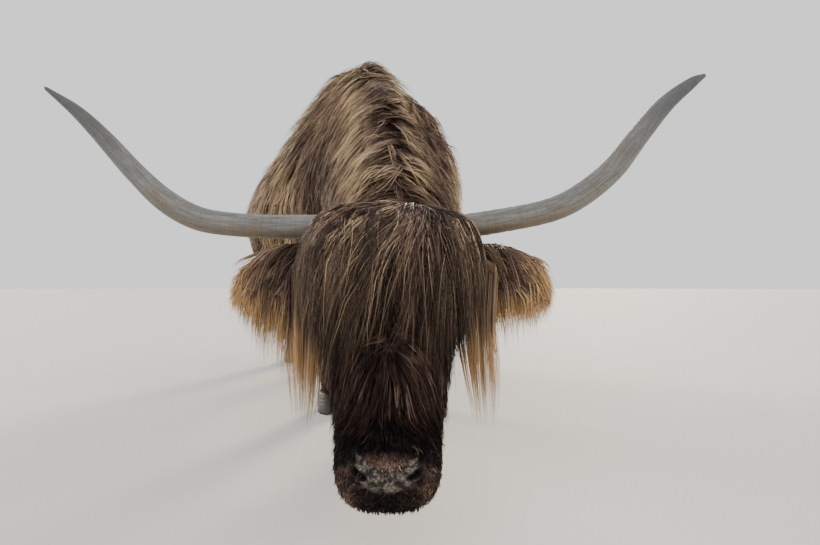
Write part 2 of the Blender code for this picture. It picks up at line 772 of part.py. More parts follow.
def main():
    clear_scene()
    cow, helpers = collection("highland_cow"), collection("cutters")
    surfaces = {
        "coat": material("coat_brown", COAT_BROWN, 0.85),
        "dark": material("coat_dark", COAT_DARK, 0.85),
        "tan": material("coat_tan", COAT_TAN, 0.85),
        "horn": material("horn", HORN_GREY, 0.5),
        "claw": material("claw", CLAW_DARK, 0.45),
        "eye": material("eye", EYE_DARK, 0.08),
        "udder": material("udder_skin", UDDER_PINK, 0.6),
    }
    pieces = build_body(cow, helpers, surfaces)
    build_feet(cow, helpers, surfaces["coat"], surfaces["claw"])
    build_head(cow, helpers, pieces["neck"], surfaces)
    build_tail(cow, helpers, pieces["hindquarters"], surfaces["coat"])
    helpers.hide_render = True
    centre_on_floor(cow)


main()
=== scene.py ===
"""A highland cow that grazes: its skin, long coat, horns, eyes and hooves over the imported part.

Each Operator builds one piece or one group of like pieces, and main runs them in order.
Lengths are in metres, +Z is up and the cow faces -Y with its left on +X."""

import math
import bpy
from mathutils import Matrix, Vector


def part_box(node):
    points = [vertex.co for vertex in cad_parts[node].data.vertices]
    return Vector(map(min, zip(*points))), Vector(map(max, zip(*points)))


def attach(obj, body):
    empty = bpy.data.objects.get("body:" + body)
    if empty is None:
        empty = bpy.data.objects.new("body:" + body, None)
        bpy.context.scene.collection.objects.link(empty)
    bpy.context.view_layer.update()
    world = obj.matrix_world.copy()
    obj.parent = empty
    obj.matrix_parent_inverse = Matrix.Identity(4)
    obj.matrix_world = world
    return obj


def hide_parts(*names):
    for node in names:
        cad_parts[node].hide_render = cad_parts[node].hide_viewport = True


bl_info = {
    "name": "Highland Cow",
    "version": (1, 0, 0),
    "blender": (4, 5, 0),
    "location": "3D View > Sidebar > Cow",
    "description": "Builds a life-size grazing highland cow with long coat, horns and hooves",
    "category": "Object",
}

import time

import bmesh
import bpy
import numpy as np
from bpy.props import FloatProperty, FloatVectorProperty, IntProperty, PointerProperty
from mathutils import Matrix, Vector
from mathutils.bvhtree import BVHTree
from mathutils.kdtree import KDTree

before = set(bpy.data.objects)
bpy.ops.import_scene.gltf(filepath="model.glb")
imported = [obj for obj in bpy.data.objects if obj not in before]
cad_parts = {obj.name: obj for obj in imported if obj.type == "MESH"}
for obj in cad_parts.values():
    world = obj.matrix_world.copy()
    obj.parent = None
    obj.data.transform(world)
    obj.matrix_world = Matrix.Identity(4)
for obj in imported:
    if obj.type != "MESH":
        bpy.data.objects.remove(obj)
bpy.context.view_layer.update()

# -------------------- the head's own frame
HEAD_PITCH = math.radians(60)
HEAD_YAW = math.radians(14.5)
TURN = Matrix.Rotation(-HEAD_YAW, 3, "Z")
ALONG = np.array(TURN @ Vector((0, -math.cos(HEAD_PITCH), -math.sin(HEAD_PITCH))))
FACE = np.array(TURN @ Vector((0, -math.sin(HEAD_PITCH), math.cos(HEAD_PITCH))))
LEFT = np.array(TURN @ Vector((1, 0, 0)))
AHEAD = -np.cross((0, 0, 1), LEFT)
DOWN = np.array((0.0, 0.0, -1.0))
EYE_PLACE = (0.195, 0.030, 0.110)
EYE_RADIUS = 0.0205
EYE_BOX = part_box("eye_left")
HEAD = np.array((EYE_BOX[0] + EYE_BOX[1]) / 2) - (
    ALONG * EYE_PLACE[0] + FACE * EYE_PLACE[1] + LEFT * EYE_PLACE[2]
)
# Where the source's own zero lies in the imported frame.
ZERO = HEAD - np.array((-0.096, -0.986, 0.492))

# Along the head: half the width and the reach to the face, hair included.
HEAD_FORM = np.array([
    (-0.030, 0.070, 0.015),
    (-0.012, 0.098, 0.045),
    (0.030, 0.120, 0.070),
    (0.095, 0.128, 0.084),
    (0.180, 0.130, 0.088),
    (0.265, 0.114, 0.084),
    (0.340, 0.100, 0.078),
    (0.400, 0.088, 0.068),
    (0.447, 0.085, 0.058),
    (0.478, 0.072, 0.040),
    (0.495, 0.045, 0.012),
])
# The dome of the forelock: along the head, half its width and its reach over the face.
FORELOCK_FORM = np.array([
    (-0.042, 0.050, 0.030),
    (-0.026, 0.112, 0.055),
    (0.010, 0.150, 0.092),
    (0.060, 0.163, 0.112),
    (0.125, 0.166, 0.120),
    (0.190, 0.162, 0.118),
    (0.250, 0.157, 0.110),
    (0.310, 0.153, 0.102),
    (0.400, 0.150, 0.092),
])
# A horn's line from the middle of the poll: outward, upward, forward, and its radius.
HORN_RIGHT = [
    (0.085, 0.004, -0.008, 0.0235),
    (0.152, 0.004, -0.006, 0.0230),
    (0.235, 0.004, -0.002, 0.0228),
    (0.323, 0.010, 0.005, 0.0226),
    (0.374, 0.022, 0.011, 0.0225),
    (0.426, 0.053, 0.016, 0.0218),
    (0.478, 0.103, 0.022, 0.0188),
    (0.528, 0.160, 0.028, 0.0160),
    (0.578, 0.211, 0.033, 0.0118),
    (0.633, 0.253, 0.038, 0.0035),
]
HORN_LEFT = [
    (0.085, 0.000, -0.006, 0.0235),
    (0.144, 0.006, -0.004, 0.0230),
    (0.210, 0.016, 0.001, 0.0229),
    (0.274, 0.028, 0.005, 0.0228),
    (0.322, 0.043, 0.011, 0.0226),
    (0.369, 0.071, 0.017, 0.0225),
    (0.417, 0.113, 0.023, 0.0216),
    (0.462, 0.172, 0.029, 0.0186),
    (0.508, 0.228, 0.035, 0.0158),
    (0.554, 0.266, 0.040, 0.0105),
    (0.578, 0.280, 0.043, 0.0035),
]
# An ear's leaf from the middle of the poll: outward, upward, forward, half its height and thickness.
EAR_LEAF = [
    (0.080, -0.060, -0.020, 0.020, 0.014),
    (0.120, -0.058, -0.004, 0.030, 0.012),
    (0.165, -0.062, 0.008, 0.040, 0.010),
    (0.210, -0.074, 0.014, 0.040, 0.009),
    (0.245, -0.090, 0.018, 0.028, 0.008),
    (0.268, -0.106, 0.020, 0.012, 0.006),
]
# An ear with its fringe by its side of the cow: outward, its upper edge, its lower edge, forward and
# half its thickness.
EAR_FORM = {
    -1: [
        (0.100, -0.030, -0.110, -0.010, 0.026),
        (0.140, -0.024, -0.285, 0.008, 0.038),
        (0.175, -0.027, -0.335, 0.016, 0.038),
        (0.215, -0.042, -0.265, 0.018, 0.034),
        (0.250, -0.062, -0.228, 0.018, 0.029),
        (0.275, -0.085, -0.195, 0.018, 0.021),
        (0.290, -0.115, -0.155, 0.018, 0.010),
    ],
    1: [
        (0.100, -0.030, -0.110, -0.010, 0.026),
        (0.140, -0.022, -0.195, 0.008, 0.038),
        (0.175, -0.022, -0.225, 0.018, 0.039),
        (0.215, -0.029, -0.218, 0.022, 0.036),
        (0.250, -0.042, -0.205, 0.022, 0.031),
        (0.277, -0.065, -0.185, 0.022, 0.023),
        (0.297, -0.100, -0.145, 0.020, 0.010),
    ],
}
LEGS = ["fore_left", "fore_right", "hind_left", "hind_right"]
LEG_NODES = [
    f"{end}leg_{part}_{side}" for end, side in (leg.split("_") for leg in LEGS) for part in ("upper", "lower")
]
TRUNK_NODES = ["neck", "forequarters", "barrel", "hindquarters"]
FLESH_NODES = ["head", "muzzle", "lower_jaw", "tail", "udder", *TRUNK_NODES, *LEG_NODES]
# How far the skin lies inside each node: the depth of the coat there, by the node or the part of a leg.
COAT_DEPTH = {
    "head": 0.016,
    "muzzle": 0.005,
    "lower_jaw": 0.016,
    "neck": 0.045,
    "forequarters": 0.055,
    "barrel": 0.058,
    "hindquarters": 0.048,
    "upper": 0.034,
    "lower": 0.012,
    "tail": 0.012,
    "udder": 0.002,
}
EDGE = 3  # corners round one lock of hair
FULL_TURN = 6.28  # for the random starts of waves


# -------------------- numbers and meshes
def through(values, steps):
    """Points on a smooth curve through the values, with this many steps between two of them."""
    values = np.asarray(values, float)
    padded = np.vstack([2 * values[0] - values[1], values, 2 * values[-1] - values[-2]])
    found = []
    for before, start, end, after in zip(padded, padded[1:], padded[2:], padded[3:]):
        for t in np.arange(steps) / steps:
            found.append(
                0.5
                * (
                    2 * start
                    + (end - before) * t
                    + (2 * before - 5 * start + 4 * end - after) * t**2
                    + (3 * start - before - 3 * end + after) * t**3
                )
            )
    found.append(values[-1])
    return np.array(found)


def smooth(value, low, high):
    """An even rise from 0 at low to 1 at high, or a fall where low is the higher one."""
    t = np.clip((value - low) / (high - low), 0, 1)
    return t * t * (3 - 2 * t)


def band(value, start, full, fade, end):
    """1 between full and fade, falling to 0 at start and at end."""
    return smooth(value, start, full) * smooth(value, end, fade)


def read_off(table, at, column=1):
    """A column of a table, read between its rows at these values of the first column."""
    return np.interp(at, table[:, 0], table[:, column])


def unit(vectors):
    return vectors / np.maximum(np.linalg.norm(vectors, axis=-1, keepdims=True), 1e-9)


def dot(a, b):
    return (a * b).sum(-1)


def in_head(along, face, left):
    """World points from distances along the head, out of its face and to its left."""
    along, face, left = np.broadcast_arrays(along, face, left)
    return HEAD + along[..., None] * ALONG + face[..., None] * FACE + left[..., None] * LEFT


def to_head(points):
    """The distances along the head, out of its face and to its left of world points."""
    away = points - HEAD
    return away @ ALONG, away @ FACE, away @ LEFT


def beside_poll(out, up, forward, side):
    """World points by level distances from the middle of the poll."""
    out, up, forward = np.broadcast_arrays(out, up, forward)
    return HEAD + out[..., None] * LEFT * side - up[..., None] * DOWN + forward[..., None] * AHEAD


def ripple(points, size, seed, octaves=3):
    """Soft irregular waves over space, about -1 to 1, with bumps of this size."""
    rng = np.random.default_rng(seed)
    total = np.zeros(len(points))
    weight = 0.0
    for octave in range(octaves):
        for _ in range(4):
            direction = unit(rng.normal(size=3)) * 2 * math.pi / size * 2**octave * rng.uniform(0.7, 1.3)
            total += np.sin(points @ direction + rng.uniform(0, FULL_TURN)) / 2**octave
        weight += 2.2 / 2**octave
    return total / weight


def read_mesh(mesh):
    points = np.empty(len(mesh.vertices) * 3, np.float32)
    mesh.vertices.foreach_get("co", points)
    mesh.calc_loop_triangles()
    faces = np.empty(len(mesh.loop_triangles) * 3, np.int32)
    mesh.loop_triangles.foreach_get("vertices", faces)
    return points.reshape(-1, 3).astype(float), faces.reshape(-1, 3)


def read_edges(mesh):
    edges = np.empty(len(mesh.edges) * 2, np.int32)
    mesh.edges.foreach_get("vertices", edges)
    return edges.reshape(-1, 2)


def write_points(mesh, points):
    mesh.vertices.foreach_set("co", points.astype(np.float32).ravel())
    mesh.update()


def build_mesh(name, points, *groups):
    """A mesh from points and arrays of faces, each array with its own number of corners."""
    groups = [group for group in groups if len(group)]
    corners = np.concatenate([group.ravel() for group in groups]).astype(np.int32)
    sizes = np.concatenate([np.full(len(group), group.shape[1]) for group in groups])
    mesh = bpy.data.meshes.new(name)
    mesh.vertices.add(len(points))
    mesh.vertices.foreach_set("co", points.astype(np.float32).ravel())
    mesh.loops.add(len(corners))
    mesh.loops.foreach_set("vertex_index", corners)
    mesh.polygons.add(len(sizes))
    starts = np.concatenate([[0], np.cumsum(sizes)[:-1]]).astype(np.int32)
    mesh.polygons.foreach_set("loop_start", starts)
    mesh.update(calc_edges=True)
    mesh.shade_smooth()
    return mesh


def linked(name, mesh):
    made = bpy.data.objects.new(name, mesh)
    bpy.context.scene.collection.objects.link(made)
    return made


def joined(name, meshes):
    """Several meshes as one, which takes their place."""
    if len(meshes) == 1:
        return meshes[0]
    whole = bmesh.new()
    for mesh in meshes:
        whole.from_mesh(mesh)
        bpy.data.meshes.remove(mesh)
    made = bpy.data.meshes.new(name)
    whole.to_mesh(made)
    whole.free()
    made.shade_smooth()
    return made


def remeshed(mesh, cell):
    """The mesh as one closed skin of even faces of this size."""
    holder = linked("work", mesh)
    modifier = holder.modifiers.new("remesh", "REMESH")
    modifier.mode, modifier.voxel_size = "VOXEL", cell
    graph = bpy.context.evaluated_depsgraph_get()
    found = bpy.data.meshes.new_from_object(holder.evaluated_get(graph))
    bpy.data.objects.remove(holder)
    return found


def point_normals(points, triangles):
    """Unit normals at the points, weighed by the area of the faces round them."""
    a, b, c = (points[triangles[:, k]] for k in range(3))
    normals = np.cross(b - a, c - a)
    total = np.zeros_like(points)
    for corner in range(3):
        for axis in range(3):
            total[:, axis] += np.bincount(triangles[:, corner], normals[:, axis], len(points))
    return unit(total)


def neighbour_mean(values, edges, count):
    """The mean over each point's neighbours, for numbers or vectors."""
    values = values.reshape(count, -1)
    ends = np.concatenate([edges[:, 0], edges[:, 1]])
    others = np.concatenate([edges[:, 1], edges[:, 0]])
    near = np.maximum(np.bincount(ends, minlength=count), 1)
    columns = [np.bincount(ends, values[others, k], count) / near for k in range(values.shape[1])]
    return np.squeeze(np.stack(columns, 1))


def relaxed(points, edges, rounds, share=0.5, where=None):
    """Smoothed points; where gives how much each one takes part."""
    weight = share if where is None else share * where[:, None]
    for _ in range(rounds):
        points = points + (neighbour_mean(points, edges, len(points)) - points) * weight
    return points


def nearest(tree, points):
    """The nearest place on a tree's surface, its normal and its face, for each point."""
    places, normals, faces = np.empty_like(points), np.empty_like(points), np.empty(len(points), int)
    for index, point in enumerate(points.tolist()):
        place, normal, face, _ = tree.find_nearest(point)
        places[index], normals[index], faces[index] = place, normal, face
    return places, normals, faces


def tree_of(points, triangles):
    return BVHTree.FromPolygons(points.tolist(), triangles.tolist())


def give(mesh, name, values, kind="FLOAT"):
    """Stores one number or one vector for each point of the mesh."""
    layer = mesh.attributes.get(name) or mesh.attributes.new(name, kind, "POINT")
    layer.data.foreach_set("value" if kind == "FLOAT" else "vector", values.astype(np.float32).ravel())


# -------------------- markings
SPINE_Y = np.array([-0.98, -0.88, -0.72, -0.55, -0.36, -0.24, -0.10, 0.10, 0.32, 0.54, 0.90])
SPINE_X = np.array([-0.090, -0.072, -0.052, -0.032, -0.022, -0.032, -0.044, -0.050, -0.055, -0.060, -0.060])
# How light the coat is down the head, by the distance along it, and down the neck, by the distance
# from the line of its back. Some rows hold painted shadow, painted shade or painted rim light, as said
# beside them.
HEAD_TONES = np.array([
    (-0.04, 0.68), (0.0, 0.50), (0.05, 0.43), (0.15, 0.35), (0.25, 0.27), (0.30, 0.32),
    # Tone 0 from 0.395 to 0.425 is the black band above the muzzle: dark hair with painted shadow under the
    # face hair that curls over it.
    (0.37, 0.20), (0.395, 0.0), (0.425, 0.0), (0.44, 0.22), (0.5, 0.16),
])
NECK_TONES = np.array([
    (0, 0.53), (0.030, 0.56), (0.055, 0.76), (0.085, 0.92), (0.115, 0.56),
    # From 0.15 to 0.19 from the back: painted shade of the hollow between neck and shoulder. From 0.26 on:
    # the flanks' own tan, with painted rim light from the low sun.
    (0.15, 0.32), (0.19, 0.36), (0.26, 0.88), (0.5, 0.86),
])


def from_spine(points):
    """How far the points lie to the left of the line of the back."""
    return points[:, 0] - ZERO[0] - np.interp(points[:, 1] - ZERO[1], SPINE_Y, SPINE_X)


def head_share(points):
    """1 on the head and its ears, 0 on the neck and body."""
    along, face, _ = to_head(points)
    return smooth(along, -0.085, -0.050) * smooth(face, -0.24, -0.17)


def markings(points):
    """How light the coat is at each point: 0 is nearly black and 1 pale gold. Skin and coat share it."""
    along, _, left = to_head(points)
    side = np.abs(left)
    head = read_off(HEAD_TONES, along)
    # The sides of the forelock are paler; on the cow's right they are paler still with painted light of the
    # low sun.
    head += np.where(left < 0, 0.20, 0.12) * smooth(side, 0.05, 0.15) * smooth(along, 0.32, 0.10)
    head -= 0.10 * smooth(side, 0.04, 0.09) * smooth(along, 0.20, 0.27)
    head += 0.36 * band(along, 0.418, 0.428, 0.452, 0.462) * smooth(side, 0.040, 0.025)
    head -= 0.14 * smooth(along, 0.460, 0.472) * smooth(side, 0.050, 0.035)
    head += 0.20 * smooth(along, 0.430, 0.442) * smooth(side, 0.046, 0.057)
    head += 0.17 * band(along, 0.458, 0.464, 0.482, 0.490) * band(side, 0.014, 0.026, 0.052, 0.064)
    # The ears grow paler out to their fringe: paler hair there, with painted backlight glow.
    ears = 0.37 + 0.30 * smooth(side, 0.17, 0.28) + 0.18 * smooth(along, 0.075, 0.045)
    head = head + (ears - head) * smooth(side, 0.125, 0.155) * smooth(along, 0.30, 0.22)
    off = from_spine(points)
    off = np.abs(off) * np.where(off > 0, 1.2, 1.0)
    y, z = points[:, 1] - ZERO[1], points[:, 2]
    crest = smooth(off, 0.020, 0.105)
    neck = read_off(NECK_TONES, off)
    body = 0.44 + 0.20 * crest
    neck = neck + (0.50 - neck) * smooth(along, -0.16, -0.09)
    body = body + (neck - body) * smooth(y, -0.05, -0.35)
    streaks = 0.10 * ripple(points * (1.0, 1.0, 0.35), 0.34, 11, 2)
    body += streaks + 0.07 * ripple(points * (1, 1, 0.3), 0.11, 12, 2)
    body += 0.06 * smooth(y, -0.2, 0.5) * crest
    body += 0.24 * np.exp(-(((y + 0.05) / 0.17) ** 2)) * smooth(off, 0.12, 0.03)
    body -= 0.16 * smooth(z, 0.50, 0.34) * smooth(y, -0.75, -0.5)
    legs = 0.40 + 0.06 * ripple(points, 0.12, 13, 2) - 0.12 * smooth(z, 0.13, 0.07)
    body = body + (legs - body) * smooth(z, 0.42, 0.30)
    share = head_share(points)
    return np.clip(body + (head - body) * share, 0.0, 1.0)


# -------------------- the skin
BODY = {}


def node_shell(names, grow=0.001):
    """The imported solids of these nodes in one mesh, a little grown so that they join."""
    meshes = []
    for name in names:
        part = bmesh.new()
        part.from_mesh(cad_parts[name].data)
        bmesh.ops.remove_doubles(part, verts=part.verts, dist=1e-5)
        part.normal_update()
        for vert, place in [(vert, vert.co + vert.normal * grow) for vert in part.verts]:
            vert.co = place
        meshes.append(bpy.data.meshes.new("shell"))
        part.to_mesh(meshes[-1])
        part.free()
    return joined("shell", meshes)


def node_owners(names):
    """A tree over the faces of these nodes, and the node that each face belongs to."""
    points, faces, owners, count = [], [], [], 0
    for index, name in enumerate(names):
        spots, corners = read_mesh(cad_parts[name].data)
        points.append(spots)
        faces.append(corners + count)
        owners.append(np.full(len(corners), index))
        count += len(spots)
    return tree_of(np.concatenate(points), np.concatenate(faces)), np.concatenate(owners)


def coat_depth(name):
    for key, depth in COAT_DEPTH.items():
        if key == name or f"_{key}_" in name:
            return depth
    raise RuntimeError(f"no depth of coat is given for {name}")


def sunk(mesh, depth, steps=9):
    """The mesh drawn inward by a depth at each point, kept smooth on the way."""
    points, faces = read_mesh(mesh)
    edges = read_edges(mesh)
    for _ in range(steps):
        points = points - point_normals(points, faces) * (depth / steps)[:, None]
        points = relaxed(points, edges, 1, 0.35)
    write_points(mesh, points)


def ear_leaf(sign):
    """The thin leaf of an ear, which the long hair hangs from."""
    rings = []
    for out, up, forward, half, thick in through(EAR_LEAF, 3):
        centre = beside_poll(out, up, forward, sign)
        turns = np.linspace(0, 2 * math.pi, 16, endpoint=False)[:, None]
        cup = AHEAD * 0.35 * thick * np.cos(2 * turns)
        rings.append(centre - DOWN * half * np.cos(turns) + AHEAD * thick * np.sin(turns) - cup)
    return closed_rings("ear leaf", np.array(rings))


def closed_rings(name, rings):
    """A closed mesh through rings of points, with a fan over each end."""
    count, around = rings.shape[:2]
    points = np.concatenate([rings.reshape(-1, 3), rings[[0, -1]].mean(1)])
    index = np.arange(count * around).reshape(count, around)
    turned = np.roll(index, -1, axis=1)
    quads = np.stack([index[:-1], turned[:-1], turned[1:], index[1:]], -1).reshape(-1, 4)
    first = np.stack([turned[0], index[0], np.full(around, count * around)], -1)
    last = np.stack([index[-1], turned[-1], np.full(around, count * around + 1)], -1)
    mesh = build_mesh(name, points, quads, np.concatenate([first, last]))
    spots, faces = read_mesh(mesh)
    if np.linalg.det(spots[faces] - spots.mean(0)).sum() < 0:
        mesh.flip_normals()
    return mesh


def refine(mesh, inside):
    """Splits the faces of the mesh finer where inside holds."""
    work = bmesh.new()
    work.from_mesh(mesh)
    keep = inside(np.array([vert.co for vert in work.verts]))
    work.verts.index_update()
    edges = [edge for edge in work.edges if keep[edge.verts[0].index] and keep[edge.verts[1].index]]
    bmesh.ops.subdivide_edges(work, edges=edges, cuts=1, use_grid_fill=True)
    work.to_mesh(mesh)
    work.free()


def eye_frame(sign):
    """The middle of an eye, and its directions outward, along the lids and across them."""
    out = unit(LEFT * sign * 0.86 + FACE * 0.51)
    along = unit(ALONG - out * (ALONG @ out))
    eye = in_head(np.array(EYE_PLACE[0]), np.array(EYE_PLACE[1]), np.array(EYE_PLACE[2] * sign))
    return eye, out, along, np.cross(out, along)


# The opening between the lids: half its length and half its height. The lids follow a ball round the eye.
LID_LENGTH, LID_HEIGHT, LID_BALL = 0.0195, 0.0105, 0.0232


def lid_gap(u):
    """Half the opening between the lids, along the eye."""
    return LID_HEIGHT * np.clip(1 - (u / LID_LENGTH) ** 2, 0, 1) ** 0.8


def with_eyelids(points):
    """Raises the lids round each eye, and sinks the skin inside their opening behind the ball."""
    for sign in (-1, 1):
        eye, out, along, across = eye_frame(sign)
        away = points - eye
        height, u, w = away @ out, away @ along, away @ across
        reach = np.hypot(u, w)
        near = (reach < 0.05) & (height > -0.045)
        lid = np.sqrt(np.clip(LID_BALL**2 - np.minimum(reach, LID_LENGTH) ** 2, 0, None))
        open_share = smooth(lid_gap(u) - np.abs(w), -0.0002, 0.0012)
        fold = 0.0012 * np.exp(-(((np.abs(w) - lid_gap(u) - 0.007) / 0.0018) ** 2)) * (reach < 0.03)
        lid = lid - fold - open_share * 0.0085
        target = lid + (height - lid) * smooth(reach, 0.0185, 0.047)
        points = points + np.where(near, target - height, 0.0)[:, None] * out
    return points


MOUTH_ALONG = [0.34, 0.40, 0.46, 0.495]
MOUTH_FACE = [-0.046, -0.037, -0.026, -0.018]
# A nostril: its place along the head and beside its middle, half its length and width, its depth and
# how much it curves.
NOSTRIL = (0.4505, 0.0395)
NOSTRIL_HALVES = (0.0122, 0.0044)
NOSTRIL_TILT = math.radians(-36)
NOSTRIL_DEPTH = 0.015
NOSTRIL_CURVE = 14.0


def mouth_line(along, face):
    """How far a point of the muzzle lies from the line of the mouth, towards the face."""
    return face - np.interp(along, MOUTH_ALONG, MOUTH_FACE)


def nostril_place(points, sign):
    """Distances across and along one nostril, as shares of its half length and half width."""
    along, face, left = to_head(points)
    outward = left * sign - NOSTRIL[1]
    rise = along - NOSTRIL[0]
    cosine, sine = math.cos(NOSTRIL_TILT), math.sin(NOSTRIL_TILT)
    long = outward * cosine + rise * sine
    wide = -outward * sine + rise * cosine + NOSTRIL_CURVE * long**2
    return long / NOSTRIL_HALVES[0], wide / NOSTRIL_HALVES[1], (face > -0.01) & (left * sign > 0)


def with_muzzle(points, faces):
    """Carves the nostrils, the mouth and the groove of the upper lip."""
    normals = point_normals(points, faces)
    along, face, left = to_head(points)
    move = np.zeros(len(points))
    for sign in (-1, 1):
        long, wide, here = nostril_place(points, sign)
        reach = np.hypot(long, wide)
        rim = 0.0022 * np.exp(-(((reach - 1.5) / 0.35) ** 2))
        move += here * (rim - NOSTRIL_DEPTH * smooth(reach, 1.10, 0.45))
    off = mouth_line(along, face)
    there = smooth(along, 0.345, 0.375)
    move += there * (-0.0042 * np.exp(-((off / 0.0028) ** 2)) + 0.0016 * np.exp(-((off / 0.011) ** 2)))
    lip = smooth(along, 0.462, 0.480) * smooth(off, 0.002, 0.01)
    move -= 0.0022 * np.exp(-((left / 0.0022) ** 2)) * lip
    return points + normals * move[:, None]


def pad_share(points):
    """1 on the bare grey pad between and under the nostrils."""
    along, face, left = to_head(points)
    side = np.abs(left)
    top = 0.443 - 0.022 * np.clip(side / 0.042, 0, 1.2) ** 2
    low = 0.472 - 0.016 * np.clip(side / 0.042, 0, 1.3) ** 2.5
    share = smooth(along, top - 0.003, top + 0.003) * smooth(side, 0.047, 0.041)
    share = share * smooth(along, low + 0.004, low - 0.003)
    for sign in (-1, 1):
        long, wide, here = nostril_place(points, sign)
        share = share * (1 - here * smooth(np.hypot(long, wide), 1.35, 0.95))
    return share * smooth(mouth_line(along, face), 0.004, 0.010)


def bare_share(points):
    """1 on bare skin: the pad, the lips, the nostrils, the rims of the eyes and the udder."""
    along, face, _ = to_head(points)
    lips = smooth(along, 0.40, 0.44) * smooth(np.abs(mouth_line(along, face)), 0.010, 0.004)
    share = np.maximum(pad_share(points), lips)
    for sign in (-1, 1):
        long, wide, here = nostril_place(points, sign)
        share = np.maximum(share, here * smooth(np.hypot(long, wide), 1.6, 1.15))
        eye, out, across, up = eye_frame(sign)
        away = points - eye
        edge = np.abs(away @ up) - lid_gap(away @ across)
        near = (away @ out > 0) * (np.linalg.norm(away, axis=1) < 0.03)
        share = np.maximum(share, smooth(edge, 0.0028, 0.001) * near)
    return np.maximum(share, udder_share(points))


UDDER_TOP = (0.47, 0.44)  # the heights between which the bare udder passes into the coat


def udder_box():
    return (np.array(corner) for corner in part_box("udder"))


def udder_reach(points):
    """How far the points lie from the middle of the udder's box, with 1 on its sides."""
    low, high = udder_box()
    return np.abs((points - (low + high) / 2) / ((high - low) / 2)).max(1)


def udder_share(points):
    """1 on the bare skin of the udder and its teats."""
    return smooth(udder_reach(points), 1.12, 0.98) * smooth(points[:, 2], *UDDER_TOP)


def near_eyes(points, reach):
    eyes = [np.linalg.norm(points - eye_frame(sign)[0], axis=1) for sign in (-1, 1)]
    return np.minimum(*eyes) < reach


def head_zone(points):
    """True on the front of the head."""
    along, face, left = to_head(points)
    return (along > 0.02) & (np.abs(left) < 0.125) & (face > -0.20)


def udder_zone(points):
    low, high = udder_box()
    return ((points > low - 0.01) & (points < high + 0.01)).all(1)


# Where the skin is made finer, from wide to narrow.
FINE_ZONES = [
    head_zone,
    lambda points: to_head(points)[0] > 0.415,
    udder_zone,
    lambda points: near_eyes(points, 0.052),
    lambda points: near_eyes(points, 0.034),
]


def with_udder(points):
    """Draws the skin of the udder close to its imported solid."""
    share = smooth(udder_reach(points), 1.06, 0.98)
    held = share > 0
    tree = tree_of(*read_mesh(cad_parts["udder"].data))
    places, normals, _ = nearest(tree, points[held])
    onto = places - normals * 0.0015 - points[held]
    points[held] += onto * (share[held] * smooth(points[held][:, 2], *UDDER_TOP))[:, None]
    return points


def build_skin(sizes):
    """One closed skin under the whole coat, from the flesh solids drawn in by the coat's depth."""
    outline = remeshed(node_shell(FLESH_NODES), sizes.cell)
    points, faces = read_mesh(outline)
    edges = read_edges(outline)
    owners_tree, owners = node_owners(FLESH_NODES)
    depths = np.array([coat_depth(name) for name in FLESH_NODES])
    own = depths[owners[nearest(owners_tree, points)[2]]]
    deep = own > 0.04
    ridge = smooth(np.abs(from_spine(points)), 0.13, 0.04) * smooth(points[:, 2], 0.55, 0.70) * deep
    depth = own * sizes.depth * (1 - 0.68 * ridge)
    depth = depth + 0.012 * smooth(point_normals(points, faces)[:, 2], -0.3, -0.8) * deep
    for _ in range(12):
        depth = depth * 0.4 + neighbour_mean(depth, edges, len(depth)) * 0.6
    sunk(outline, depth)
    skin = remeshed(joined("outline", [outline, ear_leaf(-1), ear_leaf(1)]), sizes.cell * 0.9)
    points, _ = read_mesh(skin)
    write_points(skin, relaxed(points, read_edges(skin), 3))
    for zone in FINE_ZONES:
        refine(skin, zone)
    points, faces = read_mesh(skin)
    edges = read_edges(skin)
    points = with_udder(relaxed(points, edges, 6, 0.5, head_zone(points).astype(float)))
    points = with_muzzle(with_eyelids(points), faces)
    carved = near_eyes(points, 0.04) | (to_head(points)[0] > 0.42)
    points = relaxed(points, edges, 1, 0.35, carved.astype(float))
    write_points(skin, points)
    skin.shade_smooth()
    for name, share in (("tone", markings), ("bare", bare_share), ("pad", pad_share), ("pink", udder_share)):
        give(skin, name, share(points))
    BODY["owner"] = owners[nearest(owners_tree, points[faces].mean(1))[2]]
    BODY["points"], BODY["faces"] = points, faces
    BODY["tree"] = tree_of(points, faces)
    shell = node_shell([*FLESH_NODES, "forelock", "ear_left", "ear_right", "tail_switch"])
    BODY["cover"] = tree_of(*read_mesh(remeshed(shell, 0.012)))
    return skin


# -------------------- growing the coat
LOWEST_GUIDE, LOWEST_HAIR = 0.004, 0.003  # over the floor
PATCH_HALF, PATCH_LENGTH = 0.0012, 0.0028  # of one lock on the unwrap


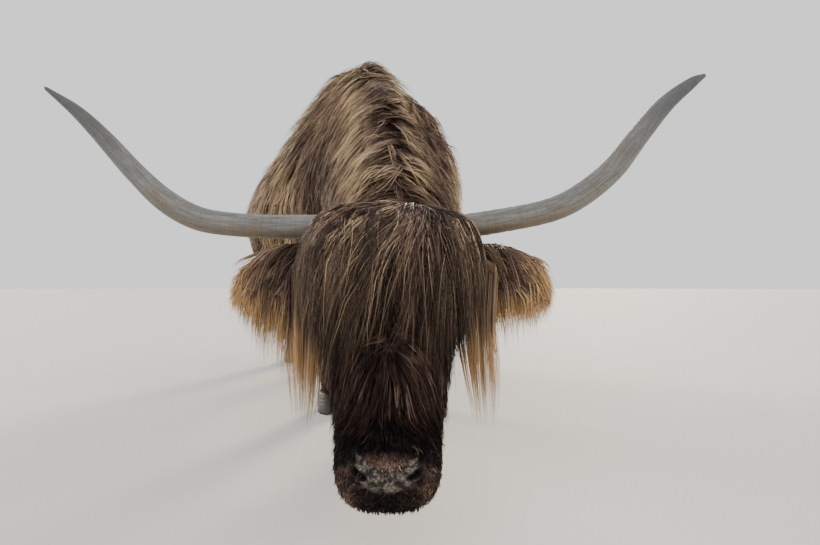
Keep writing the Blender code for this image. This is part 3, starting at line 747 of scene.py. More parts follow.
class Bed:
    """The part of the skin that one piece of coat grows on, with its own unwrap."""

    def __init__(self, chosen):
        faces = BODY["faces"][chosen]
        used, corners = np.unique(faces, return_inverse=True)
        self.faces = corners.reshape(-1, 3)
        self.points = BODY["points"][used]
        holder = linked("bed", build_mesh("bed", self.points, self.faces))
        for other in bpy.context.selected_objects:
            other.select_set(False)
        bpy.context.view_layer.objects.active = holder
        holder.select_set(True)
        bpy.ops.object.mode_set(mode="EDIT")
        bpy.ops.mesh.select_all(action="SELECT")
        bpy.ops.uv.smart_project(angle_limit=math.radians(66), island_margin=0.003)
        bpy.ops.object.mode_set(mode="OBJECT")
        places = np.empty(len(self.faces) * 6, np.float32)
        holder.data.uv_layers.active.data.foreach_get("uv", places)
        self.map = places.reshape(-1, 3, 2).astype(float)
        bpy.data.objects.remove(holder)
        self.tree = None

    def sow(self, count, rng, weight=None):
        """Roots spread evenly over the bed, more where weight is higher, and their places on the unwrap."""
        a, b, c = (self.points[self.faces[:, k]] for k in range(3))
        area = np.linalg.norm(np.cross(b - a, c - a), axis=1)
        if weight is not None:
            area = area * weight((a + b + c) / 3)
        total = np.cumsum(area)
        picks = np.searchsorted(total, (np.arange(count) + rng.random(count)) / count * total[-1])
        picks = np.clip(picks, 0, len(total) - 1)
        root, other = np.sqrt(rng.random(count)), rng.random(count)
        share = np.stack([1 - root, root * (1 - other), root * other], 1)
        roots = (self.points[self.faces[picks]] * share[:, :, None]).sum(1)
        return roots, (self.map[picks] * share[:, :, None]).sum(1)

    def under(self, points):
        """The places on the bed nearest to these points, and where they are on the unwrap."""
        if self.tree is None:
            self.tree = tree_of(self.points, self.faces)
        places, _, picks = nearest(self.tree, points)
        a, b, c = (self.points[self.faces[picks, k]] for k in range(3))
        whole = np.cross(b - a, c - a)
        size = np.maximum(dot(whole, whole), 1e-18)
        second = dot(np.cross(places - a, c - a), whole) / size
        third = dot(np.cross(b - a, places - a), whole) / size
        share = np.stack([1 - second - third, second, third], 1)
        return places, (self.map[picks] * share[:, :, None]).sum(1)


def grown(roots, comb, length, lift, steps, proud=None, under=None):
    """Paths that leave the skin at the roots and lie over it the way comb says, up to lift above it.

    proud bounds how far they may leave the cow's outline, under how deep below it they may lie."""
    paths, outs = np.empty((2, len(roots), steps + 1, 3))
    _, normals, _ = nearest(BODY["tree"], roots)
    paths[:, 0], outs[:, 0] = roots, normals
    point, heading = roots, None
    for step in range(1, steps + 1):
        wish = unit(comb(point, normals))
        hang = smooth(-normals[:, 2], 0.1, 0.7)
        push = dot(wish, normals)
        wish = unit(wish - normals * (push * np.where(push > 0, 1 - hang, 1.0))[:, None])
        heading = wish if heading is None else unit(heading * 0.45 + wish * 0.55)
        point = point + heading * (length / steps)[:, None]
        places, normals, _ = nearest(BODY["tree"], point)
        height = dot(point - places, normals)
        goal = lift * (step / steps) ** 0.75
        aim = np.where(height < goal, goal, height + (goal - height) * 0.65 * (1 - hang))
        point = point + normals * (aim - height)[:, None]
        if proud is not None:
            spots, outward, _ = nearest(BODY["cover"], point)
            over = dot(point - spots, outward) - proud
            move = -np.maximum(over, 0)
            if under is not None:
                move += np.maximum(-over - under, 0) * smooth(step / steps, 0.0, 0.38)
            point = point + outward * move[:, None]
        point[:, 2] = np.maximum(point[:, 2], LOWEST_GUIDE)
        paths[:, step], outs[:, step] = point, normals
    return paths, outs


def sampled(paths, shares):
    """The paths at these shares of their own steps, one row of shares for each path."""
    steps = paths.shape[1] - 1
    spot = np.clip(shares * steps, 0, steps - 1e-6)
    index = spot.astype(int)
    part = (spot - index)[..., None]
    row = np.arange(len(paths))[:, None]
    return paths[row, index] * (1 - part) + paths[row, index + 1] * part


def clumped(roots, guides, paths, outs, rng, segments, gather=0.75, shortest=0.7, stray=0.004, wave=0.003):
    """Hairs that follow the nearest guide and gather to it towards the tip."""
    tree = KDTree(len(guides))
    for index, guide in enumerate(guides.tolist()):
        tree.insert(guide, index)
    tree.balance()
    owner = np.array([tree.find(root)[1] for root in roots.tolist()])
    count = len(roots)
    t = np.linspace(0, 1, segments + 1)
    shares = rng.uniform(shortest, 1.0, count)[:, None] * t
    line, up = sampled(paths[owner], shares), sampled(outs[owner], shares)
    away = (roots - guides[owner])[:, None, :]
    line = line + away * (1 - gather * smooth(t, 0.0, 0.9))[None, :, None]
    line = line + rng.normal(size=(count, 1, 3)) * stray * (t**1.3)[None, :, None]
    forward = unit(np.gradient(line, axis=1))
    side = unit(np.cross(forward, up))
    bends, phases = rng.uniform(5, 9, count)[:, None], rng.uniform(0, FULL_TURN, len(guides))[owner][:, None]
    bend = np.sin(bends * t + phases)
    line = line + side * (bend * t * wave)[:, :, None]
    line[:, :, 2] = np.maximum(line[:, :, 2], LOWEST_HAIR)
    return line, up, owner


def lock_mesh(name, paths, outs, places, half, thick, tone, chance, tip=0.10):
    """One closed three-cornered lock along each path, flat against the coat and drawn out to a tip.

    places are the roots' spots on the unwrap: each lock's patch of the map lies round its own."""
    count, rows = paths.shape[:2]
    t = np.linspace(0, 1, rows)
    forward = unit(np.gradient(paths, axis=1))
    side = unit(np.cross(forward, outs))
    up = np.cross(side, forward)
    shape = (0.65 + 0.35 * smooth(t, 0, 0.2)) * (1 - (1 - tip) * smooth(t, 0.35, 1.0))
    wide = side * (half[:, None] * shape)[:, :, None]
    high = up * (thick[:, None] * shape)[:, :, None]
    rings = np.stack([paths + high, paths - wide - high * 0.5, paths + wide - high * 0.5], 2)[:, :-1]
    body = rows - 1
    points = np.concatenate([rings.reshape(count, body * EDGE, 3), paths[:, -1:]], 1)
    each = body * EDGE + 1
    index = np.arange(body * EDGE).reshape(body, EDGE)
    turned = np.roll(index, -1, 1)
    quads = np.stack([index[:-1], turned[:-1], turned[1:], index[1:]], -1).reshape(-1, 4)
    ends = np.stack([index[-1], turned[-1], np.full(EDGE, body * EDGE)], -1)
    ends = np.concatenate([ends, index[:1, ::-1]])
    first = points[0]
    whole = np.concatenate([quads[:, :3], quads[:, [0, 2, 3]], ends])
    if np.linalg.det(first[whole] - first.mean(0)).sum() < 0:
        quads, ends = quads[:, ::-1], ends[:, ::-1]
    shift = (np.arange(count) * each)[:, None, None]
    quads, ends = (quads + shift).reshape(-1, 4), (ends + shift).reshape(-1, 3)
    mesh = build_mesh(name, points.reshape(-1, 3), quads, ends)
    across = np.concatenate([np.tile([0.0, -1.0, 1.0], body), [0.0]])
    along = np.concatenate([np.repeat(t[:-1], EDGE), [1.0]])
    lock = np.empty((count, each, 3))
    lock[:, :, 0], lock[:, :, 1], lock[:, :, 2] = across, along, chance[:, None]
    give(mesh, "lock", lock.reshape(-1, 3), "FLOAT_VECTOR")
    give(mesh, "tone", tone)
    centre = np.clip(places, 0.003, 0.997)[:, None, :]
    spots = centre + np.stack([across * PATCH_HALF, (along - 0.5) * PATCH_LENGTH], 1)[None]
    corners = np.empty(len(mesh.loops), np.int32)
    mesh.loops.foreach_get("vertex_index", corners)
    layer = mesh.uv_layers.new(name="OFBake")
    layer.data.foreach_set("uv", spots.reshape(-1, 2)[corners].astype(np.float32).ravel())
    return mesh


# -------------------- which way the coat lies
def comb_body(rng):
    """Down both sides from the line of the back: forward on the neck, and more and more back behind it.

    Each lock near that line keeps the side it falls to, so that some lie over it."""
    held = {}

    def comb(points, normals):
        off, y = from_spine(points), points[:, 1] - ZERO[1]
        high = smooth(points[:, 2], 0.45, 0.60)
        if not held:
            held["side"] = np.tanh((off + rng.normal(0, 0.040, len(off)) * high) / 0.022)
        top = np.clip(normals[:, 2], 0, 1)
        arch = np.exp(-((off / 0.075) ** 2)) * high
        back = np.interp(y, [-0.95, -0.60, -0.40, -0.10, 0.30], [-0.20, -0.12, -0.02, 0.18, 0.26])
        beside = held["side"] * (0.16 + 0.75 * top + 1.1 * arch)
        ways = np.stack([beside, back * (1 + 1.2 * top), -np.ones(len(points))], 1)
        ways[:, 0] += 0.13 * ripple(points, 0.25, 21, 1) + 0.06 * ripple(points, 0.07, 28, 1)
        ways[:, 1] += 0.15 * ripple(points, 0.22, 22, 1) + 0.08 * ripple(points, 0.08, 29, 1)
        return ways

    return comb


def comb_leg(points, normals):
    """Down, and a little back."""
    ways = np.zeros_like(points)
    ways[:, 1] = 0.16 + 0.1 * ripple(points, 0.1, 25, 1)
    ways[:, 0] = 0.10 * ripple(points, 0.1, 26, 1)
    ways[:, 2] = -1
    return ways


WHORL = (0.270, 0.0)  # along the head and beside its middle


def comb_face(points, normals):
    """Out of the whorl between the eyes, then down the face, and back over the cheeks and the jaw."""
    along, _, left = to_head(points)
    front = smooth(normals @ FACE, 0.1, 0.7)[:, None]
    ahead, beside = along - WHORL[0], left - WHORL[1]
    reach = np.maximum(np.hypot(ahead, beside), 0.004)
    near = np.exp(-((reach / 0.040) ** 2))
    flare = 0.75 * smooth(along, 0.335, 0.385) * np.tanh(beside / 0.03)
    down = ALONG * (near * ahead / reach + (1 - near))[:, None]
    spread = (1 - near) * (0.25 * np.tanh(beside / 0.03) + flare)
    fan = down + LEFT * (near * beside / reach + spread)[:, None]
    fan = np.where((ahead < -0.020)[:, None], ALONG + LEFT * (beside * 4)[:, None], fan)
    cheek = ALONG * 0.75 - FACE * 0.30 + DOWN * 0.35 + np.array((0, 0.15, 0))
    jaw = smooth(-(normals @ FACE), 0.3, 0.8)[:, None]
    ways = cheek + (fan - cheek) * front
    ways = ways + 0.12 * LEFT * ripple(points, 0.06, 27, 1)[:, None]
    return ways + (DOWN * 0.8 + np.array((0, 0.5, 0)) - ways) * jaw


# -------------------- materials
def feed(tree, socket, value):
    """Links a socket to another one, or sets it to a value."""
    if isinstance(value, bpy.types.NodeSocket):
        tree.links.new(value, socket)
    else:
        socket.default_value = value


def node(tree, kind, inputs=None, **settings):
    """A shader node with its settings, and its inputs set to values or linked from sockets."""
    made = tree.nodes.new("ShaderNode" + kind)
    for key, value in settings.items():
        setattr(made, key, value)
    for key, value in (inputs or {}).items():
        feed(tree, made.inputs[key], value)
    return made


def maths(tree, operation, *values):
    return node(tree, "Math", dict(enumerate(values)), operation=operation).outputs[0]


def mixed(tree, share, first, second, blend="MIX"):
    """A colour between two colours."""
    inputs = {0: share, 6: first, 7: second}
    return node(tree, "Mix", inputs, data_type="RGBA", blend_type=blend).outputs[2]


def between(tree, value, low, high, to_low=0.0, to_high=1.0):
    """The value as a share of the way from low to high, held to 0 and 1 and rescaled."""
    inputs = {"Value": value, "From Min": low, "From Max": high, "To Min": to_low, "To Max": to_high}
    return node(tree, "MapRange", inputs, interpolation_type="SMOOTHSTEP").outputs[0]


def noise(tree, place, scale, detail, roughness=0.5):
    """Soft noise over a place, from 0 to 1."""
    inputs = {"Vector": place, "Scale": scale, "Detail": detail, "Roughness": roughness}
    return node(tree, "TexNoise", inputs).outputs[0]


def split(tree, vector):
    return node(tree, "SeparateXYZ", {"Vector": vector}).outputs


def vector_of(tree, x=0.0, y=0.0, z=0.0):
    return node(tree, "CombineXYZ", {"X": x, "Y": y, "Z": z}).outputs[0]


def opaque(colours, *names):
    """The user's colours of these names, with full alpha."""
    return [(*getattr(colours, name), 1) for name in names]


def shader_group(name, takes, gives):
    """A new node group with named inputs and outputs, each a name, a kind and for inputs a default."""
    group = bpy.data.node_groups.new(name, "ShaderNodeTree")
    for label, kind, default in takes:
        socket = group.interface.new_socket(label, in_out="INPUT", socket_type=kind)
        socket.default_value = default
    for label, kind in gives:
        group.interface.new_socket(label, in_out="OUTPUT", socket_type=kind)
    start, end = group.nodes.new("NodeGroupInput"), group.nodes.new("NodeGroupOutput")
    return group, start.outputs, end.inputs


def use_group(tree, group, inputs):
    return node(tree, "Group", inputs, node_tree=group).outputs


def coat_colour_group(colours):
    """Turns how light the coat is into its colour, from black-brown through brown and tan to gold."""
    steps = (("Brown", 0.02, 0.34), ("Tan", 0.30, 0.64), ("Gold", 0.62, 1.0))
    takes = [("Tone", "NodeSocketFloat", 0.5), ("Black", "NodeSocketColor", (*colours.black, 1))]
    takes += [(name, "NodeSocketColor", *opaque(colours, name.lower())) for name, _, _ in steps]
    group, given, out = shader_group("Coat Colour", takes, [("Colour", "NodeSocketColor")])
    colour = given["Black"]
    for name, low, high in steps:
        colour = mixed(group, between(group, given["Tone"], low, high), colour, given[name])
    group.links.new(colour, out["Colour"])
    return group


def fibre_group():
    """Fine lines along a length: for single hairs in a lock, and for the grain of horn."""
    takes = [
        ("Vector", "NodeSocketVector", (0, 0, 0)),
        ("Across", "NodeSocketFloat", 2.0),
        ("Along", "NodeSocketFloat", 0.6),
    ]
    group, given, out = shader_group("Fibres", takes, [("Lines", "NodeSocketFloat")])
    parts = zip(split(group, given["Vector"]), ("Across", "Along", "Across"))
    place = vector_of(group, *[maths(group, "MULTIPLY", part, given[way]) for part, way in parts])
    group.links.new(noise(group, place, 1.0, 2.0, 0.6), out["Lines"])
    return group


def new_material(name):
    made = bpy.data.materials.new(name)
    made.use_nodes = True
    tree = made.node_tree
    return made, tree, tree.nodes["Principled BSDF"]


def attribute(tree, name):
    return node(tree, "Attribute", attribute_name=name).outputs


def bumped(tree, shader, height, distance, strength=1.0):
    bump = node(tree, "Bump", {"Height": height, "Distance": distance, "Strength": strength})
    tree.links.new(bump.outputs[0], shader.inputs["Normal"])


def coat_material(
    name, groups, tip_lift, root_shade, roughness, strands, deep, shine, gold=None, tip_from=0.25
):
    """Hair: marked by its tone, darker at the root with painted shade, lighter to the tip, with single hairs
    in each lock. The locks differ in tone at random, with painted shade on the darkest and painted
    highlights on the lightest.

    tip_from and tip_lift say from where on and how much the tip is lighter, root_shade how dark the
    painted shade at the root is, deep how dark the darkest lock is, and strands how many hairs lie side by
    side in a lock."""
    made, tree, shader = new_material(name)
    across, along, chance = split(tree, attribute(tree, "lock")["Vector"])
    place = vector_of(tree, across, along, maths(tree, "MULTIPLY", chance, 61.0))
    lines = use_group(tree, groups["fibres"], {"Vector": place, "Across": strands, "Along": 2.2})["Lines"]
    tone = attribute(tree, "tone")["Fac"]
    tone = maths(tree, "ADD", tone, between(tree, along, tip_from, 1.0, 0.0, tip_lift))
    tone = maths(tree, "ADD", tone, between(tree, lines, 0.25, 0.75, -0.13, 0.13))
    takes = {"Tone": tone} if gold is None else {"Tone": tone, "Gold": (*gold, 1)}
    colour = use_group(tree, groups["coat"], takes)["Colour"]
    # Painted shade at the root, and random lock tones from deep up to a little over the tone: painted shade
    # on the darkest locks and painted highlights on the lightest.
    root = between(tree, along, 0.0, 0.45, root_shade, 1.0)
    shade = maths(tree, "MULTIPLY", root, between(tree, chance, 0.0, 1.0, deep, 1.22))
    grey = node(tree, "CombineColor", {"Red": shade, "Green": shade, "Blue": shade}).outputs[0]
    tree.links.new(mixed(tree, 1.0, colour, grey, "MULTIPLY"), shader.inputs["Base Color"])
    rough = between(tree, lines, 0.2, 0.8, roughness + 0.12, roughness - 0.06)
    rough = maths(tree, "ADD", rough, between(tree, along, 0.0, 0.25, 0.46, 0.0))
    tree.links.new(rough, shader.inputs["Roughness"])
    shader.inputs["Specular IOR Level"].default_value = shine
    bumped(tree, shader, lines, 0.0007)
    return made


def skin_material(groups, colours):
    """Skin under the coat in the coat's own markings, with bare grey pad and painted shade in its grooves,
    dark lips and pink udder.
    """
    made, tree, shader = new_material("cow skin")
    place = node(tree, "TexCoord").outputs["Object"]
    down = use_group(tree, groups["fibres"], {"Vector": place, "Across": 260.0, "Along": 260.0})["Lines"]
    tone = maths(tree, "ADD", attribute(tree, "tone")["Fac"], between(tree, down, 0.2, 0.8, -0.26, 0.02))
    fur = use_group(tree, groups["coat"], {"Tone": tone})["Colour"]
    inputs = {"Vector": place, "Scale": 210.0, "Randomness": 0.9}
    cells = node(tree, "TexVoronoi", inputs, feature="DISTANCE_TO_EDGE").outputs["Distance"]
    cobbles = between(tree, cells, 0.0, 0.16)
    blotches = noise(tree, place, 95.0, 4.0, 0.65)
    wide = noise(tree, place, 30.0, 3.0)
    pale, dark, lip, udder = opaque(colours, "pad", "pad_dark", "lips", "udder")
    pad = mixed(tree, between(tree, blotches, 0.42, 0.54), dark, pale)
    # The grooves between the cobbles of the pad take the dark of the lips: painted shade.
    pad = mixed(tree, between(tree, cobbles, 0.0, 0.8, 0.75, 0.0), pad, lip)
    lips = mixed(tree, between(tree, wide, 0.4, 0.7), lip, dark)
    naked = mixed(tree, attribute(tree, "pad")["Fac"], lips, pad)
    pink = mixed(tree, between(tree, wide, 0.35, 0.7), udder, (0.55, 0.36, 0.27, 1))
    naked = mixed(tree, attribute(tree, "pink")["Fac"], naked, pink)
    bare = attribute(tree, "bare")["Fac"]
    colour = mixed(tree, bare, fur, naked)
    tree.links.new(colour, shader.inputs["Base Color"])
    wet = maths(tree, "MULTIPLY", bare, between(tree, blotches, 0.3, 0.6, 0.42, 0.22))
    tree.links.new(maths(tree, "SUBTRACT", 0.78, wet), shader.inputs["Roughness"])
    shader.inputs["Specular IOR Level"].default_value = 0.2
    relief = maths(tree, "MULTIPLY", cobbles, maths(tree, "MULTIPLY", bare, 0.7))
    relief = maths(tree, "ADD", relief, maths(tree, "MULTIPLY", down, 0.5))
    bumped(tree, shader, relief, 0.0009)
    return made


def horn_material(name, groups, colours, hoof=False):
    """Weathered horn: fibres along it, growth rings, dark cracks and a darker tip."""
    made, tree, shader = new_material(name)
    place = attribute(tree, "grain")["Vector"]
    fibres = {"Vector": place, "Across": 420.0, "Along": 24.0}
    lines = use_group(tree, groups["fibres"], fibres)["Lines"]
    coarse = use_group(tree, groups["fibres"], {**fibres, "Across": 95.0, "Along": 5.0})["Lines"]
    browning = noise(tree, place, 16.0, 3.0, 0.6)
    flecks = noise(tree, place, 210.0, 2.0)
    rings = noise(tree, vector_of(tree, y=split(tree, place)[1]), 130.0, 2.0)
    names = ("horn_dark", "horn", "horn_pale", "horn_tip")
    if hoof:
        names = ("hoof_dark", "hoof", "hoof", "hoof_dark")
    low, high, pale, tip = opaque(colours, *names)
    brown, crack = opaque(colours, "horn_stain", "horn_dark")
    colour = mixed(tree, between(tree, lines, 0.36, 0.66, 0.30, 1.0), low, high)
    colour = mixed(tree, between(tree, coarse, 0.42, 0.75, 0.0, 0.34), colour, pale)
    colour = mixed(tree, between(tree, browning, 0.5, 0.72, 0.0, 0.5), colour, brown)
    colour = mixed(tree, between(tree, flecks, 0.38, 0.29, 0.0, 0.75), colour, crack)
    uneven = between(tree, browning, 0.25, 0.6, 0.62, 1.0)
    # Browner on the underside towards the base, as the browning attribute gives.
    under = maths(tree, "MULTIPLY", attribute(tree, "browning")["Fac"], uneven)
    colour = mixed(tree, under, colour, brown)
    colour = mixed(tree, between(tree, rings, 0.30, 0.55, 0.35 if hoof else 0.22, 0.0), colour, low)
    colour = mixed(tree, maths(tree, "MULTIPLY", attribute(tree, "tipness")["Fac"], 0.85), colour, tip)
    tree.links.new(colour, shader.inputs["Base Color"])
    tree.links.new(between(tree, lines, 0.2, 0.8, 0.62, 0.44), shader.inputs["Roughness"])
    relief = maths(tree, "ADD", maths(tree, "MULTIPLY", lines, 0.5), maths(tree, "MULTIPLY", rings, 0.8))
    relief = maths(tree, "ADD", relief, maths(tree, "MULTIPLY", coarse, 0.5))
    bumped(tree, shader, relief, 0.0012)
    return made


def square_sum(tree, *values):
    """The sum of the squares of two values."""
    return maths(tree, "ADD", *[maths(tree, "POWER", value, 2.0) for value in values])


def eye_material(colours):
    """A dark brown eye with a level oval pupil, wet and bright."""
    made, tree, shader = new_material("cow eye")
    gaze = attribute(tree, "gaze")["Vector"]
    beside, up, _ = split(tree, gaze)
    reach = maths(tree, "SQRT", square_sum(tree, beside, up))
    pupil = square_sum(tree, maths(tree, "DIVIDE", beside, 0.36), maths(tree, "DIVIDE", up, 0.20))
    turn = maths(tree, "MULTIPLY", maths(tree, "ARCTAN2", up, beside), 6.0)
    rays = noise(tree, vector_of(tree, turn, reach), 3.0, 3.0)
    bright, dark, rim = opaque(colours, "iris", "iris_dark", "eye_white")
    iris = mixed(tree, between(tree, rays, 0.35, 0.7), dark, bright)
    white = mixed(tree, between(tree, reach, 0.68, 0.95), dark, rim)
    colour = mixed(tree, between(tree, reach, 0.60, 0.68), iris, white)
    colour = mixed(tree, between(tree, pupil, 1.12, 0.9), colour, (0.002, 0.003, 0.005, 1))
    tree.links.new(colour, shader.inputs["Base Color"])
    veins = noise(tree, gaze, 12.0, 3.0)
    tree.links.new(between(tree, veins, 0.3, 0.7, 0.10, 0.18), shader.inputs["Roughness"])
    shader.inputs["Coat Weight"].default_value = 1.0
    shader.inputs["Coat Roughness"].default_value = 0.03
    shader.inputs["Coat IOR"].default_value = 1.376
    return made


def floor_material(colour):
    """Pale studio floor, the least bit uneven in its tint."""
    made, tree, shader = new_material("pale floor")
    grain = noise(tree, node(tree, "TexCoord").outputs["Object"], 3.0, 6.0)
    darker = (*[part * 0.97 for part in colour], 1)
    tint = mixed(tree, between(tree, grain, 0.3, 0.7), (*colour, 1), darker)
    tree.links.new(tint, shader.inputs["Base Color"])
    shader.inputs["Roughness"].default_value = 0.85
    return made


MATERIALS = {}
# How the hair of each part of the coat looks.
HAIR_LOOKS = {
    "forelock": dict(
        name="forelock hair", tip_lift=0.14, root_shade=0.40, roughness=0.44, strands=1.6, deep=0.12,
        shine=0.15,
    ),
    "face": dict(
        name="face hair", tip_lift=0.08, root_shade=0.40, roughness=0.50, strands=1.2, deep=0.34, shine=0.07
    ),
    # The ear hair turns bright gold to its tips: pale tips with painted backlight glow. The tail wears it
    # too.
    "ear": dict(
        name="ear hair", tip_lift=0.62, root_shade=0.5, roughness=0.44, strands=1.6, deep=0.5, shine=0.24,
        tip_from=0.36,
    ),
    "coat": dict(
        name="body coat", tip_lift=0.20, root_shade=0.42, roughness=0.58, strands=3.2, deep=0.48, shine=0.13
    ),
}


def make_materials(colours):
    groups = {"coat": coat_colour_group(colours), "fibres": fibre_group()}
    MATERIALS["skin"] = skin_material(groups, colours)
    for key, looks in HAIR_LOOKS.items():
        # On the ears the palest colour is the bright gold of painted backlight glow.
        MATERIALS[key] = coat_material(groups=groups, gold=colours.backlit if key == "ear" else None, **looks)
    MATERIALS["horn"] = horn_material("weathered horn", groups, colours)
    MATERIALS["hoof"] = horn_material("hoof horn", groups, colours, hoof=True)
    MATERIALS["eye"] = eye_material(colours)


def add_piece(name, mesh, material, slot, *nodes):
    """Gives a finished mesh its material; it rides on the cow and stands for these nodes. slot is not used.
    """
    mesh.materials.clear()
    mesh.materials.append(MATERIALS[material])
    made = linked(name, mesh)
    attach(made, "root")
    if nodes:
        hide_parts(*nodes)


# -------------------- the coat of the head
HAIR_OVER_HEAD = 0.017  # how deep the hair lies on the head
PARTING = 0.34  # the turn at which the forelock parts
FORELOCK_CURVE = through(FORELOCK_FORM, 4)
# How far along the head the forelock reaches, by the turn in degrees at which its locks hang.
FORELOCK_ENDS = np.array([
    (-105, 0.225), (-70, 0.235), (-48, 0.285), (-28, 0.330), (-10, 0.270),
    (8, 0.262), (26, 0.335), (44, 0.300), (66, 0.215), (105, 0.200),
])
# The radius of a side lock by how far it has fallen.
SIDE_LOCK_FORM = np.array([(0.0, 0.020), (0.10, 0.034), (0.19, 0.035), (0.28, 0.029), (0.335, 0.018)])
SIDE_LOCK_CLUMPS = 26


def ear_zone(points):
    """True over the leaves of the ears."""
    away = points - HEAD
    out, ahead, up = np.abs(away @ LEFT), away @ AHEAD, away[:, 2]
    return (out > 0.118) & (up > -0.17) & (up < 0.03) & (ahead > -0.055) & (ahead < 0.07)


def head_half(along):
    return read_off(HEAD_FORM, along) - HAIR_OVER_HEAD


def head_front(along):
    return read_off(HEAD_FORM, along, 2) - HAIR_OVER_HEAD


def oval(turn, power=2.4):
    """The sideways and outward shares of a full oval at this turn from the middle of the face."""
    spread = np.sign(np.sin(turn)) * np.abs(np.sin(turn)) ** (2 / power)
    return spread, np.sign(np.cos(turn)) * np.abs(np.cos(turn)) ** (2 / power)


def even_shares(segments, power):
    """Shares of a length for the rows of a lock, closer together near its root."""
    return np.linspace(0, 1, segments + 1) ** power


def forelock_lines(rng, clumps, each, segments, turned, under=False):
    """Hair that sweeps from the parting on the poll to both sides and falls over the dome of the forehead.

    turned bounds how far to the side its locks hang, in degrees."""
    count = clumps * each
    owner = np.repeat(np.arange(clumps), each)
    turn = np.radians(rng.uniform(*turned, clumps)) * rng.choice([-1, 1], clumps)
    spread = rng.random(clumps) < (0.9 if under else 0.22)
    origin = np.where(spread, turn * rng.uniform(0.25, 0.85, clumps), PARTING + rng.normal(0, 0.13, clumps))
    start = rng.uniform(0.0, 0.060, clumps) if under else rng.uniform(-0.034, 0.024, clumps)
    depth = smooth(start, -0.03, 0.06)
    swing = np.abs(turn - origin)
    ended = read_off(FORELOCK_ENDS, np.degrees(turn)) + rng.uniform(-0.075, 0.030, clumps)
    layer = 1.0 - 0.22 * depth + rng.normal(0, 0.035, clumps)
    t = np.linspace(0, 1, 33)[None, :]
    gather = 1 - 0.70 * smooth(t, 0.10, 0.95)
    slow = np.clip(1 - smooth(swing, 0.9, 1.9) + rng.normal(0, 0.06, clumps), 0, 1.05)
    turned_by = (0.66 + 0.52 * slow)[owner][:, None]
    share = 1 - np.clip(1 - t / turned_by, 0, 1) ** 1.45
    turns = origin[owner][:, None] + (turn - origin)[owner][:, None] * share
    stray = np.where(rng.random(clumps) < 0.06, 3.5, 1.0) * rng.normal(0, 0.12, clumps)
    turns = turns + rng.normal(0, 0.060, count)[:, None] * gather
    turns = turns + (stray[owner][:, None] + rng.normal(0, 0.040, count)[:, None]) * t**1.4
    waves, phase = (rng.uniform(*bounds, clumps)[owner][:, None] for bounds in ((4, 9), (0, 6.3)))
    turns += 0.045 * smooth(t, 0.1, 0.6) * np.sin(waves * t + phase)
    starts = (start[owner] + rng.normal(0, 0.006, count))[:, None]
    ends = (ended[owner] * rng.uniform(0.70, 1.04, count))[:, None]
    late = (0.62 - 0.50 * slow)[owner][:, None]
    along = starts + (ends - starts) * ((1 - late) * t + late * t**2)
    across, out = oval(turns)
    shell = layer[owner][:, None] + rng.normal(0, 0.020, count)[:, None]
    shell = np.clip(shell + 0.022 * np.sin(waves * 1.3 * t + phase + 2), 0.70, 1.035)
    wide, front = read_off(FORELOCK_CURVE, along), read_off(FORELOCK_CURVE, along, 2)
    rise = smooth(t, -0.10, 0.30)
    rise = (rise - rise[:, :1]) / (1 - rise[:, :1])
    left = across * (head_half(along) + (wide * shell - head_half(along)) * rise)
    face = out * (head_front(along) + (front * shell - head_front(along)) * rise)
    drop = np.clip(along - 0.11, 0, None) * np.sin(turns) ** 2
    lines = in_head(along, face - 0.52 * drop, left)
    middle = in_head(along, face * 0 - 0.02, left * 0)
    rows = np.broadcast_to(even_shares(segments, 1.25), (count, segments + 1))
    return sampled(lines, rows), sampled(unit(lines - middle), rows), owner


def side_lock_lines(rng, count, segments, sign):
    """The long lock that hangs from the temple beside the cheek."""
    fall = rng.uniform(0.22, 0.335, count)[:, None]
    t = np.linspace(0, 1, segments + 1)[None, :]
    clump = rng.integers(0, SIDE_LOCK_CLUMPS, count)
    angle = (rng.uniform(0, FULL_TURN, SIDE_LOCK_CLUMPS)[clump] + rng.normal(0, 0.25, count))[:, None]
    reach = np.sqrt(rng.uniform(0.0, 1.0, SIDE_LOCK_CLUMPS))[clump][:, None]
    drop = fall * t
    radius = read_off(SIDE_LOCK_FORM, drop) * reach
    radius = radius * (1 + 0.12 * np.sin(9 * t + angle))
    top = in_head(np.array(0.050), np.array(0.020), np.array(0.148 * sign))
    path = top + np.stack([0.012 * sign * drop / 0.3, -0.02 * drop / 0.3, -drop], -1)
    path = path + np.stack([np.cos(angle) * radius, np.sin(angle) * radius * 0.8, 0 * radius], -1)
    root_along, root_face = rng.uniform(-0.01, 0.07, count), rng.uniform(-0.03, 0.045, count)
    root = in_head(root_along, root_face, 0.108 * sign * np.ones(count))
    share = smooth(t, 0.0, 0.22)[..., None]
    arch = (FACE * 0.010 + LEFT * sign * 0.012) * np.sin(np.pi * np.clip(t / 0.35, 0, 1))[..., None]
    lines = root[:, None] * (1 - share) + path * share + arch
    around = np.stack([np.cos(angle), np.sin(angle), 0 * angle], -1)
    outs = unit(LEFT * sign * 0.6 + AHEAD * 0.8 + 0.5 * around)
    return lines, np.broadcast_to(outs, lines.shape).copy(), clump


def along_tone(lines, chance_own, root_share=0.4):
    """The coat's markings along each lock, part of them held from its root."""
    spots = markings(lines.reshape(-1, 3)).reshape(lines.shape[:2])
    tone = spots * (1 - root_share) + spots[:, :1] * root_share
    return np.clip(tone + chance_own[:, None], 0, 1)


def spread_tone(tone):
    """The tone at the rows of a lock, repeated for the corners round each of them."""
    return np.concatenate([np.repeat(tone[:, :-1], EDGE, axis=1), tone[:, -1:]], 1).ravel()


